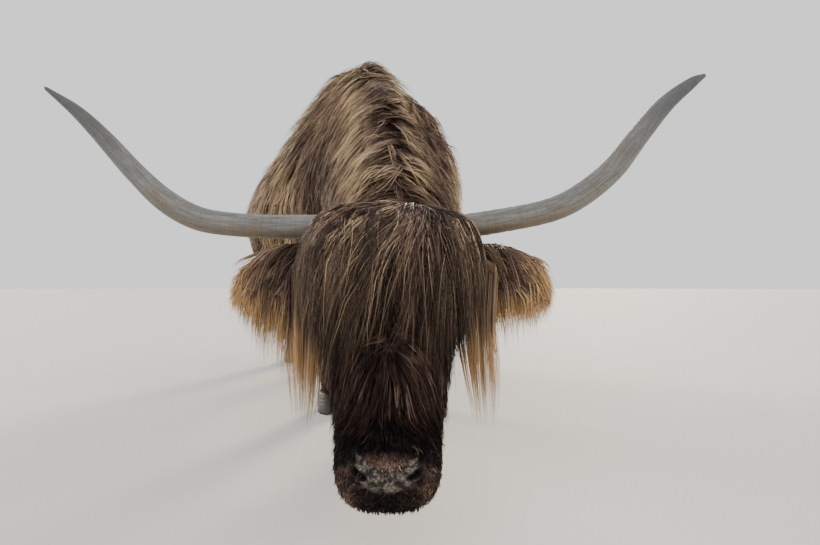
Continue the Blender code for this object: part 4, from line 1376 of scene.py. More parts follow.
def coat_of(
    name, bed, lines, outs, owner, rng, half, thick,
    clump_spread=0.07, own_spread=0.03, lighter=0.0, root_share=0.4, bright=0.06,
):
    """Locks on a bed, with widths and chances from their clumps.

    Their tones are the markings, made lighter, and spread by clump and by lock; a few clumps are bright,
    their lighter hair with painted highlights."""
    count = len(lines)
    roots, places = bed.under(lines[:, 0])
    lines = lines.copy()
    lines[:, 0] = roots
    clumps = owner.max() + 1
    chance = np.clip(rng.random(clumps)[owner] + rng.normal(0, 0.12, count), 0, 1)
    own = rng.normal(0, clump_spread, clumps)[owner] + rng.normal(0, own_spread, count) + lighter
    # A few bright clumps: lighter hair with painted highlights.
    own += 0.15 * ((rng.random(clumps) < bright)[owner] & (rng.random(count) < 0.6))
    tone = along_tone(lines, own, root_share)
    halves = half * rng.uniform(0.75, 1.25, count)
    return lock_mesh(name, lines, outs, places, halves, np.full(count, thick), spread_tone(tone), chance)


def grown_coat(
    name, bed, rng, count, segments, each, length, lift, comb, half, thick,
    scale=None, lift_scale=None, outward=None, under=None, weight=None,
    steps=9, gather=0.75, shortest=0.7, stray=0.004, wave=0.003, **tones,
):
    """Locks grown over the skin: guides first, then the hairs that gather to them.

    length bounds how long the locks are, and lift is how far they stand off, each times its own scale.
    outward is how far past the cow's outline they reach, and under how far below it they may lie."""
    clumps = max(count // each, 1)
    guides, _ = bed.sow(clumps, rng, weight)
    lengths = rng.uniform(*length, clumps) * (scale(guides) if scale else 1.0)
    lifts = lift * rng.uniform(0.55, 1.05, clumps)
    if lift_scale:
        lifts = lifts * lift_scale(guides)
    proud = rng.uniform(-0.011, 0.003, clumps) + (outward(guides) if outward else 0.0)
    deepest = None if under is None else under * rng.random(clumps) ** 2
    paths, outs = grown(guides, comb, lengths, lifts, steps, proud, deepest)
    roots, _ = bed.sow(count, rng, weight)
    lines, ups, owner = clumped(roots, guides, paths, outs, rng, segments, gather, shortest, stray, wave)
    return coat_of(name, bed, lines, ups, owner, rng, half, thick, **tones)


def owned_by(*names):
    """Which faces of the skin lie under these nodes."""
    chosen = [FLESH_NODES.index(name) for name in names]
    return np.isin(BODY["owner"], chosen)


def face_centres():
    return BODY["points"][BODY["faces"]].mean(1)


def poll_zone(points):
    """True where the forelock is rooted."""
    along, face, left = to_head(points)
    return (along < 0.13) & (face > -0.075) & (np.abs(left) < 0.12) & (along > -0.09)


def build_forelock(coat):
    rng = np.random.default_rng(coat.seed)
    bed = Bed(poll_zone(face_centres()))
    for name, clumps, each, segments, turned in (
        ("forelock_under", 260, 12, 4, (0, 100)),
        ("forelock_front", 385, 9, 7, (0, 58)),
        ("forelock_sides", 290, 9, 7, (40, 106)),
    ):
        under = name == "forelock_under"
        lines, outs, owner = forelock_lines(rng, int(clumps * coat.amount), each, segments, turned, under)
        half = coat.fine * (1.25 if under else 0.80)
        mesh = coat_of(
            name, bed, lines, outs, owner, rng, half, half * 0.5,
            clump_spread=0.15, own_spread=0.15, lighter=-0.18 if under else -0.025,
            root_share=0.35, bright=0.14,
        )
        nodes = ["forelock"] if name == "forelock_front" else []
        add_piece(name, mesh, "forelock", "long_hair", *nodes)


def off_bare(points):
    return 1.0 - np.clip(bare_share(points), 0, 1)


# The length of the face's hair by the distance along the head, as a share of its usual length.
FACE_LENGTHS = np.array([
    (0.05, 1.0), (0.20, 1.1), (0.27, 2.0), (0.32, 1.6),
    (0.36, 1.0), (0.40, 0.45), (0.43, 0.2), (0.50, 0.12),
])


def face_length(points):
    along, _, left = to_head(points)
    return read_off(FACE_LENGTHS, along) * (1 - 0.35 * smooth(np.abs(left), 0.05, 0.09))


def face_lift(points):
    return np.interp(to_head(points)[0], [0.33, 0.39], [1.0, 0.3])


def face_weight(points):
    """More locks on the front of the face and at the whorl, fewer where the forelock hides them."""
    along, face, left = to_head(points)
    hidden = smooth(along, 0.22, 0.16) * smooth(face, 0.02, 0.05)
    whorl = np.exp(-((along - WHORL[0]) ** 2 + (left - WHORL[1]) ** 2) / 0.024**2) * (face > 0)
    more = 1 + 0.8 * smooth(face, 0.0, 0.04) + 3 * whorl
    return off_bare(points) * (1 - 0.75 * hidden) * more * ~near_eyes(points, 0.019)


def muzzle_weight(points):
    return off_bare(points) * smooth(to_head(points)[0], 0.37, 0.42) * ~near_eyes(points, 0.02)


def build_face_coat(coat):
    rng = np.random.default_rng(coat.seed + 1)
    centres = face_centres()
    along = to_head(centres)[0]
    on_head = owned_by("head", "muzzle", "lower_jaw") & ~ear_zone(centres)
    mesh = grown_coat(
        "face_coat", Bed(on_head & (along > 0.04)), rng, int(8800 * coat.amount),
        segments=3, each=7, length=(0.040, 0.060), lift=0.013, comb=comb_face,
        half=coat.fine * 0.85, thick=coat.fine * 0.4,
        scale=face_length, lift_scale=face_lift, weight=face_weight,
        steps=6, gather=0.55, stray=0.0025, wave=0.002, clump_spread=0.09, own_spread=0.10,
    )
    add_piece("face_coat", mesh, "face", "dark_coat")
    mesh = grown_coat(
        "muzzle_coat", Bed(on_head & (along > 0.36)), rng, int(6400 * coat.amount),
        segments=2, each=3, length=(0.005, 0.009), lift=0.0016, comb=comb_face,
        half=coat.fine * 0.55, thick=coat.fine * 0.3, weight=muzzle_weight,
        steps=2, gather=0.35, stray=0.0008, wave=0.0, clump_spread=0.06, own_spread=0.05,
    )
    add_piece("muzzle_coat", mesh, "face", "dark_coat")


def bent(start, turn, end, t):
    """Curves from start to end that bend towards turn."""
    return start[:, None] * (1 - t) ** 2 + 2 * turn[:, None] * t * (1 - t) + end[:, None] * t**2


def ear_lines(rng, clumps, each, segments, sign):
    """Hair that runs outward along the leaf of an ear and falls from it, down to the ear's outline."""
    form = through(EAR_FORM[sign], 6)
    leaf = through(EAR_LEAF, 6)
    count = clumps * each
    owner = np.repeat(np.arange(clumps), each)
    low = rng.random(clumps)
    root_out = (0.105 + 0.158 * rng.random(clumps) ** 0.9)[owner] + rng.normal(0, 0.006, count)
    level = np.where(low < 0.72, rng.uniform(-1.0, 0.4, clumps), rng.uniform(0.3, 0.98, clumps))
    level = np.clip(level[owner] + rng.normal(0, 0.12, count), -0.98, 0.98)
    middle, half = read_off(leaf, root_out), read_off(leaf, root_out, 3)
    root_up = middle + half * level
    reach = np.where(level > 0.3, 0.075, 0.038) * rng.uniform(0.7, 1.3, clumps)[owner]
    tip_out = np.minimum(root_out + reach + rng.normal(0, 0.004, count), 0.292 + rng.normal(0, 0.003, count))
    upper, lower = read_off(form, tip_out), read_off(form, tip_out, 2)
    ragged = rng.uniform(-0.030, 0.016, clumps)[owner] * (lower / -0.2) + rng.normal(0, 0.006, count)
    whole = (1 - 0.62 * rng.random(clumps) ** 1.6)[owner] * rng.uniform(0.85, 1.0, count)
    tip_up = root_up + (np.minimum(lower - ragged, upper - 0.02) - root_up) * whole
    forward = read_off(form, root_out, 3)
    thick = read_off(form, tip_out, 4) * np.where(rng.random(clumps) < 0.7, 1, -1)[owner]
    thick = thick * rng.uniform(0.25, 0.95, clumps)[owner]
    t = np.linspace(0, 1, segments + 1)[None, :]
    turn_out = root_out + (tip_out - root_out) * 0.95
    turn_up = root_up + (upper - root_up) * 0.25 * (level > 0.3) - 0.006
    out, up = bent(root_out, turn_out, tip_out, t), bent(root_up, turn_up, tip_up, t)
    waves, phase = (rng.uniform(*bounds, clumps)[owner][:, None] for bounds in ((5, 9), (0, FULL_TURN)))
    wave = np.sin(waves * t + phase)
    out = out + 0.004 * wave * t + rng.normal(0, 0.004, count)[:, None] * t
    lean = forward[:, None] + thick[:, None] * smooth(t, 0.0, 0.4) * (1 - 0.5 * t**2)
    lean = lean + rng.normal(0, 0.005, count)[:, None] * t
    lines = beside_poll(out, up, lean, sign)
    outs = unit(AHEAD * np.sign(thick)[:, None, None] + LEFT * sign * 0.25 - DOWN * (1 - t)[..., None] * 0.3)
    return lines, outs, owner


def build_ear_coat(coat):
    rng = np.random.default_rng(coat.seed + 2)
    centres = face_centres()
    ears, temples = Bed(ear_zone(centres)), Bed(poll_zone(centres))
    fine, meshes = coat.fine, []
    for sign in (-1, 1):
        locks = side_lock_lines(rng, int(430 * coat.amount), 5, sign)
        meshes.append(coat_of("lock", temples, *locks, rng, fine * 0.80, fine * 0.42, 0.10, 0.10, 0.14))
        locks = ear_lines(rng, int(270 * coat.amount), 10, 5, sign)
        meshes.append(coat_of("ear", ears, *locks, rng, fine * 0.9, fine * 0.45, 0.08, 0.06, 0.0, 0.5, 0.10))
    add_piece("ear_coat", joined("ear_coat", meshes), "ear", "ear_hair", "ear_left", "ear_right")


# -------------------- the coat of the body
def body_outward(points):
    """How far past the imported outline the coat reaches, by height on both sides, fading to the rump."""
    off, z = from_spine(points), points[:, 2]
    right = np.interp(z, [0.50, 0.62, 0.92, 1.00, 1.08], [0.0, -0.026, -0.023, -0.009, 0.0])
    left = np.interp(z, [0.60, 0.80, 0.90, 0.97, 1.08, 1.12], [0.0, 0.017, 0.006, -0.024, -0.034, -0.010])
    return (np.where(off < 0, right, left) + 0.009 * smooth(z, 1.04, 1.10)) * smooth(points[:, 1], 0.70, 0.45)


def body_weight(points):
    """More locks along the line of the back, where they part."""
    near = np.exp(-((from_spine(points) / 0.055) ** 2)) * smooth(points[:, 2], 0.55, 0.70)
    return off_bare(points) * (1 + 2.7 * near)


def build_body_coat(coat):
    body, coarse = ~ear_zone(face_centres()), coat.coarse
    shared = dict(
        each=7, segments=3, half=coarse * 0.68, thick=coarse * 0.28, outward=body_outward, weight=body_weight,
        under=0.026, gather=0.5, shortest=0.5, stray=0.0055, wave=0.006, clump_spread=0.055, own_spread=0.085,
    )
    specs = {
        "neck": dict(
            count=8200, segments=4, length=(0.12, 0.19), lift=0.030, half=coarse * 0.57, thick=coarse * 0.24,
            root_share=0.2, bright=0.10,
        ),
        "forequarters": dict(count=11400, length=(0.12, 0.19), lift=0.036),
        "barrel": dict(count=10600, length=(0.11, 0.18), lift=0.040, half=coarse * 0.74),
        "hindquarters": dict(count=9400, length=(0.09, 0.15), lift=0.036),
    }
    for index, (name, own) in enumerate(specs.items()):
        rng = np.random.default_rng(coat.seed + 10 + index)
        spec = {**shared, **own, "count": int(own["count"] * coat.amount), "comb": comb_body(rng)}
        mesh = grown_coat(name, Bed(owned_by(name) & body), rng, **spec)
        add_piece(f"{name}_coat", mesh, "coat", "coat")


def leg_length(points):
    return np.interp(points[:, 2], [0.06, 0.10, 0.16, 0.26, 0.42, 0.6], [0.85, 0.85, 0.60, 0.75, 1.5, 1.9])


def leg_lift(points):
    return np.interp(points[:, 2], [0.06, 0.12, 0.22, 0.34, 0.55], [0.5, 0.7, 0.6, 1.6, 2.6])


def leg_weight(points):
    return 1.0 + 1.2 * smooth(points[:, 2], 0.30, 0.20)


def build_leg_coat(coat):
    mesh = grown_coat(
        "leg_coat", Bed(owned_by(*LEG_NODES)), np.random.default_rng(coat.seed + 20), int(8600 * coat.amount),
        segments=2, each=6, length=(0.045, 0.065), lift=0.010, comb=comb_leg,
        half=coat.coarse * 0.62, thick=coat.coarse * 0.25,
        scale=leg_length, lift_scale=leg_lift, weight=leg_weight, steps=6, gather=0.6,
    )
    add_piece("leg_coat", mesh, "coat", "coat")


def tail_line(drop):
    """The tail's own line: it lifts a little at its root, then hangs behind the rump."""
    root = ZERO + np.array((-0.055, 0.825, 1.02))
    return root + np.stack([0.02 * np.sin(drop * 4), 0.085 * (1 - np.exp(-drop / 0.06)), -drop], -1)


# The radius of the tail's switch by the distance down the tail.
SWITCH_FORM = np.array([
    (0.36, 0.016), (0.52, 0.027), (0.58, 0.043), (0.68, 0.054),
    (0.79, 0.050), (0.88, 0.028), (0.925, 0.010),
])
SWITCH_CLUMPS = 60


def switch_lines(rng, count, segments):
    """The locks of the switch: they start along the end of the tail and hang round its line."""
    clump = rng.integers(0, SWITCH_CLUMPS, count)
    t = np.linspace(0, 1, segments + 1)[None, :]
    start = rng.uniform(0.36, 0.52, count)[:, None]
    end = start + rng.uniform(0.28, 0.44, SWITCH_CLUMPS)[clump][:, None]
    end = np.clip(end, 0, rng.uniform(0.80, 0.925, count)[:, None])
    drop = start + (end - start) * t
    angle = (rng.uniform(0, FULL_TURN, SWITCH_CLUMPS)[clump] + rng.normal(0, 0.2, count))[:, None] + 0.5 * t
    reach = 0.35 + 0.65 * np.sqrt(rng.uniform(0, 1, SWITCH_CLUMPS))[clump][:, None]
    radius = 0.014 + (read_off(SWITCH_FORM, drop) * reach - 0.014) * smooth(t, 0.0, 0.3)
    around = np.stack([np.cos(angle), np.sin(angle), np.zeros_like(angle)], -1)
    return tail_line(drop) + around * radius[..., None], around, clump


def build_tail_coat(coat):
    rng = np.random.default_rng(coat.seed + 21)
    bed = Bed(owned_by("tail"))
    half, thick = coat.coarse * 0.6, coat.coarse * 0.25
    short = grown_coat(
        "tail_coat", bed, rng, int(1500 * coat.amount), segments=2, each=6, length=(0.06, 0.10), lift=0.013,
        comb=comb_leg, half=half, thick=thick, steps=6, gather=0.6,
    )
    locks = switch_lines(rng, int(1400 * coat.amount), 5)
    switch = coat_of("switch", bed, *locks, rng, half, thick, 0.07, 0.04)
    # The switch wears the ear hair, whose tips take the painted backlight glow.
    add_piece("tail_coat", joined("tail_coat", [short, switch]), "ear", "long_hair", "tail_switch")


# -------------------- horns, eyes and hooves
def tube_rings(line, radii, around, ridge=None):
    """Rings of points round a line, turned along with it, and each point's place in its own ring."""
    forward = unit(np.gradient(line, axis=0))
    side = unit(np.cross(forward[0], (0.0, 1.0, 0.3)))
    turns = np.linspace(0, 2 * math.pi, around, endpoint=False)[:, None]
    rings, places = [], []
    length = np.concatenate([[0], np.cumsum(np.linalg.norm(np.diff(line, axis=0), axis=1))])
    for index, centre in enumerate(line):
        side = unit(side - forward[index] * (side @ forward[index]))
        up = np.cross(forward[index], side)
        reach = radii[index] * (1 if ridge is None else 1 + ridge(length[index], turns))
        spots = side * np.cos(turns) * reach + up * np.sin(turns) * reach
        rings.append(centre + spots)
        far = np.full((around, 1), length[index])
        places.append(np.concatenate([np.cos(turns) * radii[index], far, np.sin(turns) * radii[index]], 1))
    return np.array(rings), np.array(places), length


HORN_CORNERS = 36  # round a horn


def build_horns(sizes):
    for name, table, sign in (("right_horn", HORN_RIGHT, -1), ("left_horn", HORN_LEFT, 1)):
        rows = through(table, 14)
        rows = np.concatenate([rows, rows[-1:] + (rows[-1:] - rows[-2:-1]) * (1.0, 1.0, 1.0, 0.0)])
        rows[-1, 3] = 0.0012
        line = beside_poll(rows[:, 0], rows[:, 1], rows[:, 2], sign)
        rng = np.random.default_rng(sizes.seed + (5 if sign > 0 else 6))
        wobble = rng.uniform(0, FULL_TURN, 6)

        def ridge(length, turns):
            base = 1 - smooth(np.array(length), 0.10, 0.34)
            rings = np.sin(length * 260 + wobble[0]) + 0.6 * np.sin(length * 410 + wobble[1])
            rings = sizes.ridge * base * rings
            flutes = 0.012 * np.sin(3 * turns + wobble[2] + 9 * length)
            flutes = flutes + 0.006 * np.sin(7 * turns + wobble[3] - 14 * length)
            sway = 0.010 * np.sin(length * 33 + wobble[4])
            return rings * 0.5 + flutes * (0.4 + 0.6 * base) + sway

        rings, places, length = tube_rings(line, rows[:, 3], HORN_CORNERS, ridge)
        mesh = closed_rings(name, rings)
        flat = np.concatenate([places.reshape(-1, 3), places[[0, -1]].mean(1)])
        give(mesh, "grain", flat + 3.0 * sign, "FLOAT_VECTOR")
        share = np.repeat(smooth(length / length[-1], 0.55, 0.95), HORN_CORNERS)
        give(mesh, "tipness", np.concatenate([share, [0.0, 1.0]]))
        # Browner and darker on the underside, fading out towards the tip.
        low_side = -unit(rings - line[:, None])[..., 2]
        browning = smooth(low_side, -0.15, 0.9) * smooth(length / length[-1], 0.62, 0.30)[:, None]
        give(mesh, "browning", np.concatenate([browning.ravel(), [0.0, 0.0]]))
        add_piece(name, mesh, "horn", "horn", "horn_left" if sign > 0 else "horn_right")


def build_eyes(sizes):
    for name, sign in (("right_eyeball", -1), ("left_eyeball", 1)):
        eye, out, along, across = eye_frame(sign)
        tilts = np.linspace(0.03, math.pi - 0.03, 30)[:, None]
        turns = np.linspace(0, 2 * math.pi, 48, endpoint=False)[None, :]
        flat = [np.sin(tilts) * np.cos(turns), np.sin(tilts) * np.sin(turns), np.cos(tilts) + 0 * turns]
        flat = np.stack(flat, -1)
        reach = np.hypot(flat[..., 0], flat[..., 1])
        bulge = np.where(flat[..., 2] > 0, 0.055 * smooth(reach, 0.66, 0.30), 0.0)
        size = EYE_RADIUS * sizes.ball * (1 + bulge)[..., None]
        rings = eye + (flat[..., :1] * along + flat[..., 1:2] * across + flat[..., 2:] * out) * size
        mesh = closed_rings(name, rings)
        give(mesh, "gaze", np.concatenate([flat.reshape(-1, 3), [(0, 0, 1), (0, 0, -1)]]), "FLOAT_VECTOR")
        add_piece(name, mesh, "eye", "eye", "eye_left" if sign > 0 else "eye_right")


def build_claw(name):
    """One claw with rings of growth, level on its sole."""
    mesh = remeshed(node_shell([name], 0.0), 0.0032)
    points, faces = read_mesh(mesh)
    sole = points[:, 2] < 0.0022
    points = relaxed(points, read_edges(mesh), 9)
    points[:, 2] = np.where(sole, 0.0, np.maximum(points[:, 2], 0.0))
    rings = 0.0004 * np.sin(points[:, 2] * 620 + points[:, 1] * 60) * smooth(points[:, 2], 0.004, 0.012)
    level = np.where(sole[:, None], 0.0, point_normals(points, faces) * (1, 1, 0.2))
    write_points(mesh, points + level * rings[:, None])
    return mesh


def build_dewclaw(leg, side):
    """The small knob of horn behind a foot, on one side of it."""
    low, high = zip(*(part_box(f"claw_{leg}_{claw}") for claw in ("inner", "outer")))
    middle = (np.min(low, 0) + np.max(high, 0)) / 2
    start = np.array((middle[0] + side * 0.022, middle[1] + 0.040, 0.108))
    steps = [(0, 0, 0), (0, 0.011, -0.006), (side * 0.001, 0.020, -0.014), (side * 0.002, 0.025, -0.024)]
    rows = through(np.column_stack([start + np.array(steps), [0.010, 0.0120, 0.0100, 0.004]]), 4)
    rings, _, _ = tube_rings(rows[:, :3], rows[:, 3], 14)
    return closed_rings("dewclaw", rings)


def add_horny(name, meshes, tipness, *nodes):
    """Adds small parts as one piece with the grain of a hoof; tipness darkens it by height."""
    mesh = joined(name, meshes)
    points, _ = read_mesh(mesh)
    give(mesh, "grain", points[:, [0, 2, 1]], "FLOAT_VECTOR")
    give(mesh, "tipness", tipness(points[:, 2]))
    add_piece(name, mesh, "hoof", "claw_horn", *nodes)


def build_hooves():
    names = [f"claw_{leg}_{side}" for leg in LEGS for side in ("inner", "outer")]
    claws = [build_claw(name) for name in names]
    add_horny("hooves", claws, lambda z: 0.5 * smooth(z, 0.020, 0.0), *names)
    dewclaws = [build_dewclaw(leg, side) for leg in LEGS for side in (-1, 1)]
    add_horny("dewclaws", dewclaws, lambda z: 0.4 * np.ones(len(z)))


# -------------------- floor, light and camera
FLOOR_CORNERS = 64


def soft_light(name, side, height, strength, width, colour):
    """Light from far off, from this side and height in degrees, over a wide part of the sky."""
    light = bpy.data.lights.new(name, "SUN")
    light.energy, light.angle, light.color = strength, math.radians(width), colour
    turn, rise = math.radians(side), math.radians(height)
    away = Vector((math.sin(turn) * math.cos(rise), math.cos(turn) * math.cos(rise), math.sin(rise)))
    linked(name, light).rotation_euler = away.to_track_quat("Z", "Y").to_euler()


def build_floor(stage):
    turns = np.linspace(0, 2 * math.pi, FLOOR_CORNERS, endpoint=False)
    ring = np.stack([np.cos(turns), np.sin(turns), 0 * turns], 1)
    rings = np.array([ring * radius for radius in (1.5, 4.0, 12.0, stage.floor_size)])
    index = np.arange(rings.shape[0] * FLOOR_CORNERS).reshape(-1, FLOOR_CORNERS)
    turned = np.roll(index, -1, 1)
    quads = np.stack([index[:-1], index[1:], turned[1:], turned[:-1]], -1).reshape(-1, 4)
    mesh = build_mesh("floor", rings.reshape(-1, 3), quads, index[:1])
    mesh.materials.append(floor_material(stage.floor_colour))
    linked("floor", mesh)


def build_stage(stage):
    build_floor(stage)
    world = bpy.context.scene.world or bpy.data.worlds.new("studio")
    bpy.context.scene.world = world
    world.use_nodes = True
    sky = world.node_tree.nodes["Background"]
    sky.inputs["Color"].default_value = (*stage.air_colour, 1)
    sky.inputs["Strength"].default_value = stage.air
    soft_light("front", 200, 32, stage.front, 70, (1.0, 0.98, 0.95))
    soft_light("side", 115, 25, stage.side, 60, (1.0, 0.94, 0.86))
    soft_light("low back right", 35, 17, stage.back, 14, (1.0, 0.82, 0.58))
    soft_light("low back left", -40, 20, stage.back * 0.6, 22, (1.0, 0.92, 0.80))
    camera = bpy.data.cameras.new("camera")
    camera.sensor_width = 36.0
    camera.lens = stage.lens
    camera.clip_start, camera.clip_end = 0.02, 200.0
    eye = linked("camera", camera)
    turn, pitch = math.radians(stage.camera_turn), math.radians(stage.camera_pitch)
    forward = Vector((math.sin(turn) * math.cos(pitch), math.cos(turn) * math.cos(pitch), math.sin(pitch)))
    eye.location = Vector(ZERO) + Vector(stage.camera_place)
    eye.rotation_euler = forward.to_track_quat("-Z", "Y").to_euler()
    bpy.context.scene.camera = eye


# -------------------- what a user may change
def length_property(name, default, description, low=0.0):
    return FloatProperty(
        name=name, default=default, min=low, description=description, subtype="DISTANCE", unit="LENGTH"
    )


def colour_property(name, default, description):
    return FloatVectorProperty(
        name=name, default=default, size=3, min=0, max=1, subtype="COLOR", description=description
    )


def factor_property(name, default, low, high, description):
    return FloatProperty(
        name=name, default=default, min=low, max=high, subtype="FACTOR", description=description
    )


def light_property(name, default, description):
    return FloatProperty(name=name, default=default, min=0, description=description)


class CowSkinSizes(bpy.types.PropertyGroup):
    cell: length_property("Cell", 0.0098, "Size of one face of the skin over the body", 0.004)
    depth: factor_property("Coat depth", 1.0, 0.2, 1.3, "Depth of the coat, as a share of its usual depth")


class CowCoatSizes(bpy.types.PropertyGroup):
    amount: factor_property("Amount", 1.0, 0.05, 1.05, "How many locks grow, as a share of the full coat")
    fine: length_property("Fine lock", 0.0011, "Half the width of a lock on the head", 0.0003)
    coarse: length_property("Body lock", 0.0031, "Half the width of a lock on the body", 0.001)
    seed: IntProperty(
        name="Seed", default=7, min=0, description="Another number gives another fall of the hair"
    )


class CowHardSizes(bpy.types.PropertyGroup):
    ridge: factor_property(
        "Ridges", 0.02, 0, 0.08, "Height of a horn's rings at its base, as a share of its radius"
    )
    ball: factor_property("Eye", 1.0, 0.9, 1.05, "Size of the eyeballs, as a share of their usual size")
    seed: IntProperty(
        name="Seed", default=3, min=0, description="Another number gives other flutes in the horns"
    )


class CowColours(bpy.types.PropertyGroup):
    # Black-brown is the darkest hair, and also the painted shadow in the band above the muzzle.
    black: colour_property("Black-brown", (0.0024, 0.0017, 0.0015), "The darkest hair, above the muzzle")
    # Brown and tan are the hair's own colours with a touch more blue for the painted bluish sheen of the sky.
    brown: colour_property("Brown", (0.060, 0.0325, 0.0285), "The hair of the face and forelock")
    tan: colour_property("Tan", (0.231, 0.153, 0.106), "The hair of the neck and body")
    gold: colour_property("Gold", (0.70, 0.51, 0.30), "The palest hair of the neck and flanks")
    # Bright gold: the pale tips of the longest hair, with painted backlight glow.
    backlit: colour_property(
        "Bright gold", (0.80, 0.50, 0.22), "The tips of the longest hair, on the ears and temples"
    )
    pad: colour_property("Nose pad", (0.152, 0.127, 0.102), "The pale patches of the bare nose")
    pad_dark: colour_property("Nose mottling", (0.016, 0.012, 0.010), "The dark patches of the bare nose")
    # Lips also colour the painted shade in the grooves of the nose pad.
    lips: colour_property("Lips", (0.006, 0.005, 0.004), "The lips, nostrils and rims of the eyes")
    udder: colour_property("Udder", (0.45, 0.27, 0.20), "The bare skin of the udder")
    horn: colour_property("Horn", (0.205, 0.200, 0.188), "The grey of weathered horn")
    horn_pale: colour_property("Pale horn", (0.30, 0.295, 0.28), "The palest fibres of the horn")
    horn_dark: colour_property("Horn cracks", (0.075, 0.068, 0.060), "The cracks and dark fibres of the horn")
    horn_stain: colour_property("Horn stain", (0.150, 0.108, 0.058), "The brown stain on the horn")
    horn_tip: colour_property("Horn tip", (0.060, 0.062, 0.068), "The dark tip of the horn")
    hoof: colour_property("Hoof", (0.066, 0.054, 0.043), "The brown-grey of the claws")
    hoof_dark: colour_property("Dark hoof", (0.020, 0.017, 0.014), "The dark rings and soles of the claws")
    iris: colour_property("Iris", (0.075, 0.036, 0.014), "The brown of the eye")
    iris_dark: colour_property("Dark iris", (0.018, 0.009, 0.005), "The dark rays of the eye")
    eye_white: colour_property("White of the eye", (0.30, 0.24, 0.20), "The rim of the eyeball")


class CowStage(bpy.types.PropertyGroup):
    floor_colour: colour_property("Floor", (0.60, 0.595, 0.585), "The pale studio floor")
    air_colour: colour_property("Air", (0.94, 0.95, 0.97), "The soft light from all round")
    air: light_property("Air light", 1.2, "Strength of the light from all round")
    front: light_property("Front light", 0.45, "Strength of the soft light in front")
    side: light_property("Side light", 0.5, "Strength of the warm light beside the head")
    back: light_property("Back light", 4.6, "Strength of the low warm light behind")
    floor_size: length_property("Floor size", 60.0, "Radius of the floor", 5.0)
    lens: FloatProperty(
        name="Lens", default=22.39, min=5, description="Focal length of the camera in millimetres"
    )
    camera_place: FloatVectorProperty(
        name="Camera",
        default=(-0.3141, -1.9323, 0.385),
        size=3,
        subtype="TRANSLATION",
        unit="LENGTH",
        description="Where the camera stands, from the cow's own zero",
    )
    camera_turn: FloatProperty(
        name="Camera turn", default=15.0, description="How far the camera turns to the cow's left, in degrees"
    )
    camera_pitch: FloatProperty(
        name="Camera pitch", default=1.4, description="How far the camera looks up, in degrees"
    )


# -------------------- steps, panel and run
class COW_OT_materials(bpy.types.Operator):
    """Makes the materials of coat, skin, horn, hoof and eye"""

    bl_idname = "cow.materials"
    bl_label = "Materials"

    def execute(self, context):
        make_materials(context.scene.cow_colours)
        return {"FINISHED"}


class COW_OT_skin(bpy.types.Operator):
    """Builds the one closed skin under the coat"""

    bl_idname = "cow.skin"
    bl_label = "Skin"

    def execute(self, context):
        add_piece("skin", build_skin(context.scene.cow_skin), "skin", "coat", *FLESH_NODES)
        return {"FINISHED"}


class COW_OT_eyes(bpy.types.Operator):
    """Builds the two eyeballs"""

    bl_idname = "cow.eyes"
    bl_label = "Eyes"

    def execute(self, context):
        build_eyes(context.scene.cow_hard)
        return {"FINISHED"}


class COW_OT_horns(bpy.types.Operator):
    """Builds the two horns with their rings and fibres"""

    bl_idname = "cow.horns"
    bl_label = "Horns"

    def execute(self, context):
        build_horns(context.scene.cow_hard)
        return {"FINISHED"}


class COW_OT_hooves(bpy.types.Operator):
    """Builds the claws and the small horny knobs behind them"""

    bl_idname = "cow.hooves"
    bl_label = "Hooves"

    def execute(self, context):
        build_hooves()
        return {"FINISHED"}


class COW_OT_forelock(bpy.types.Operator):
    """Grows the long hair from the poll over the forehead and temples"""

    bl_idname = "cow.forelock"
    bl_label = "Forelock"

    def execute(self, context):
        build_forelock(context.scene.cow_coat)
        return {"FINISHED"}


class COW_OT_face_coat(bpy.types.Operator):
    """Grows the short hair of the face, jaw and muzzle"""

    bl_idname = "cow.face_coat"
    bl_label = "Face coat"

    def execute(self, context):
        build_face_coat(context.scene.cow_coat)
        return {"FINISHED"}


class COW_OT_ear_coat(bpy.types.Operator):
    """Grows the long fringes of the ears and the locks beside the cheeks"""

    bl_idname = "cow.ear_coat"
    bl_label = "Ear coat"

    def execute(self, context):
        build_ear_coat(context.scene.cow_coat)
        return {"FINISHED"}


class COW_OT_body_coat(bpy.types.Operator):
    """Grows the long coat of the neck, shoulders, barrel and hindquarters"""

    bl_idname = "cow.body_coat"
    bl_label = "Body coat"

    def execute(self, context):
        build_body_coat(context.scene.cow_coat)
        return {"FINISHED"}


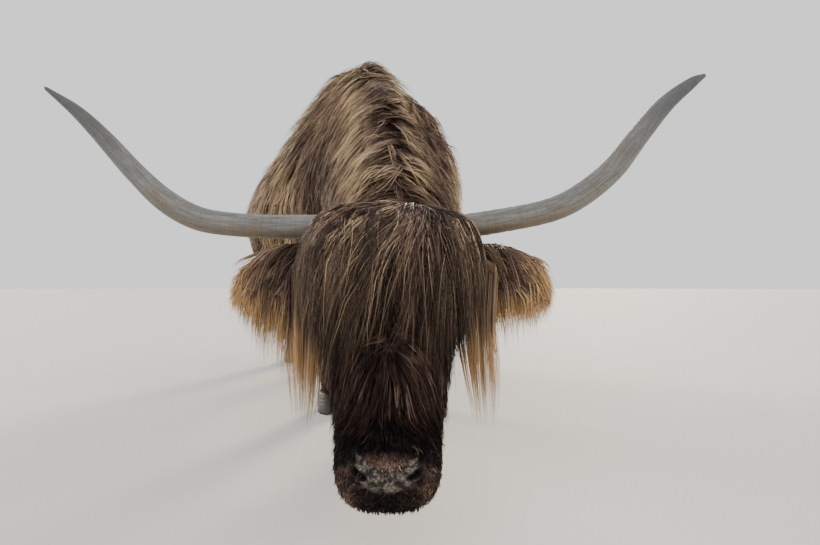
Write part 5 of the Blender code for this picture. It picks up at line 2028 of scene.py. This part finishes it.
class COW_OT_leg_coat(bpy.types.Operator):
    """Grows the coat of the legs down to the hooves"""

    bl_idname = "cow.leg_coat"
    bl_label = "Leg coat"

    def execute(self, context):
        build_leg_coat(context.scene.cow_coat)
        return {"FINISHED"}


class COW_OT_tail_coat(bpy.types.Operator):
    """Grows the coat of the tail and its switch"""

    bl_idname = "cow.tail_coat"
    bl_label = "Tail coat"

    def execute(self, context):
        build_tail_coat(context.scene.cow_coat)
        return {"FINISHED"}


class COW_OT_stage(bpy.types.Operator):
    """Makes the pale floor, the soft light and the camera"""

    bl_idname = "cow.stage"
    bl_label = "Floor, light and camera"

    def execute(self, context):
        build_stage(context.scene.cow_stage)
        return {"FINISHED"}


STEPS = [
    COW_OT_materials,
    COW_OT_skin,
    COW_OT_eyes,
    COW_OT_horns,
    COW_OT_hooves,
    COW_OT_forelock,
    COW_OT_face_coat,
    COW_OT_ear_coat,
    COW_OT_body_coat,
    COW_OT_leg_coat,
    COW_OT_tail_coat,
    COW_OT_stage,
]
SETTINGS = {
    "cow_skin": CowSkinSizes,
    "cow_coat": CowCoatSizes,
    "cow_hard": CowHardSizes,
    "cow_colours": CowColours,
    "cow_stage": CowStage,
}


class COW_PT_panel(bpy.types.Panel):
    bl_label = "Highland Cow"
    bl_idname = "COW_PT_panel"
    bl_space_type = "VIEW_3D"
    bl_region_type = "UI"
    bl_category = "Cow"

    def draw(self, context):
        for name, group in SETTINGS.items():
            box = self.layout.box()
            for key in group.__annotations__:
                box.prop(getattr(context.scene, name), key)
        for step in STEPS:
            self.layout.operator(step.bl_idname)


def register():
    for group in (*SETTINGS.values(), *STEPS, COW_PT_panel):
        bpy.utils.register_class(group)
    for name, group in SETTINGS.items():
        setattr(bpy.types.Scene, name, PointerProperty(type=group))


def unregister():
    for name in SETTINGS:
        delattr(bpy.types.Scene, name)
    for group in reversed((*SETTINGS.values(), *STEPS, COW_PT_panel)):
        bpy.utils.unregister_class(group)


def main():
    register()
    for step in STEPS:
        began = time.time()
        getattr(bpy.ops.cow, step.bl_idname.split(".")[1])()
        print(f"{step.bl_label}: {time.time() - began:.1f} s")


if __name__ == "__main__":
    main()
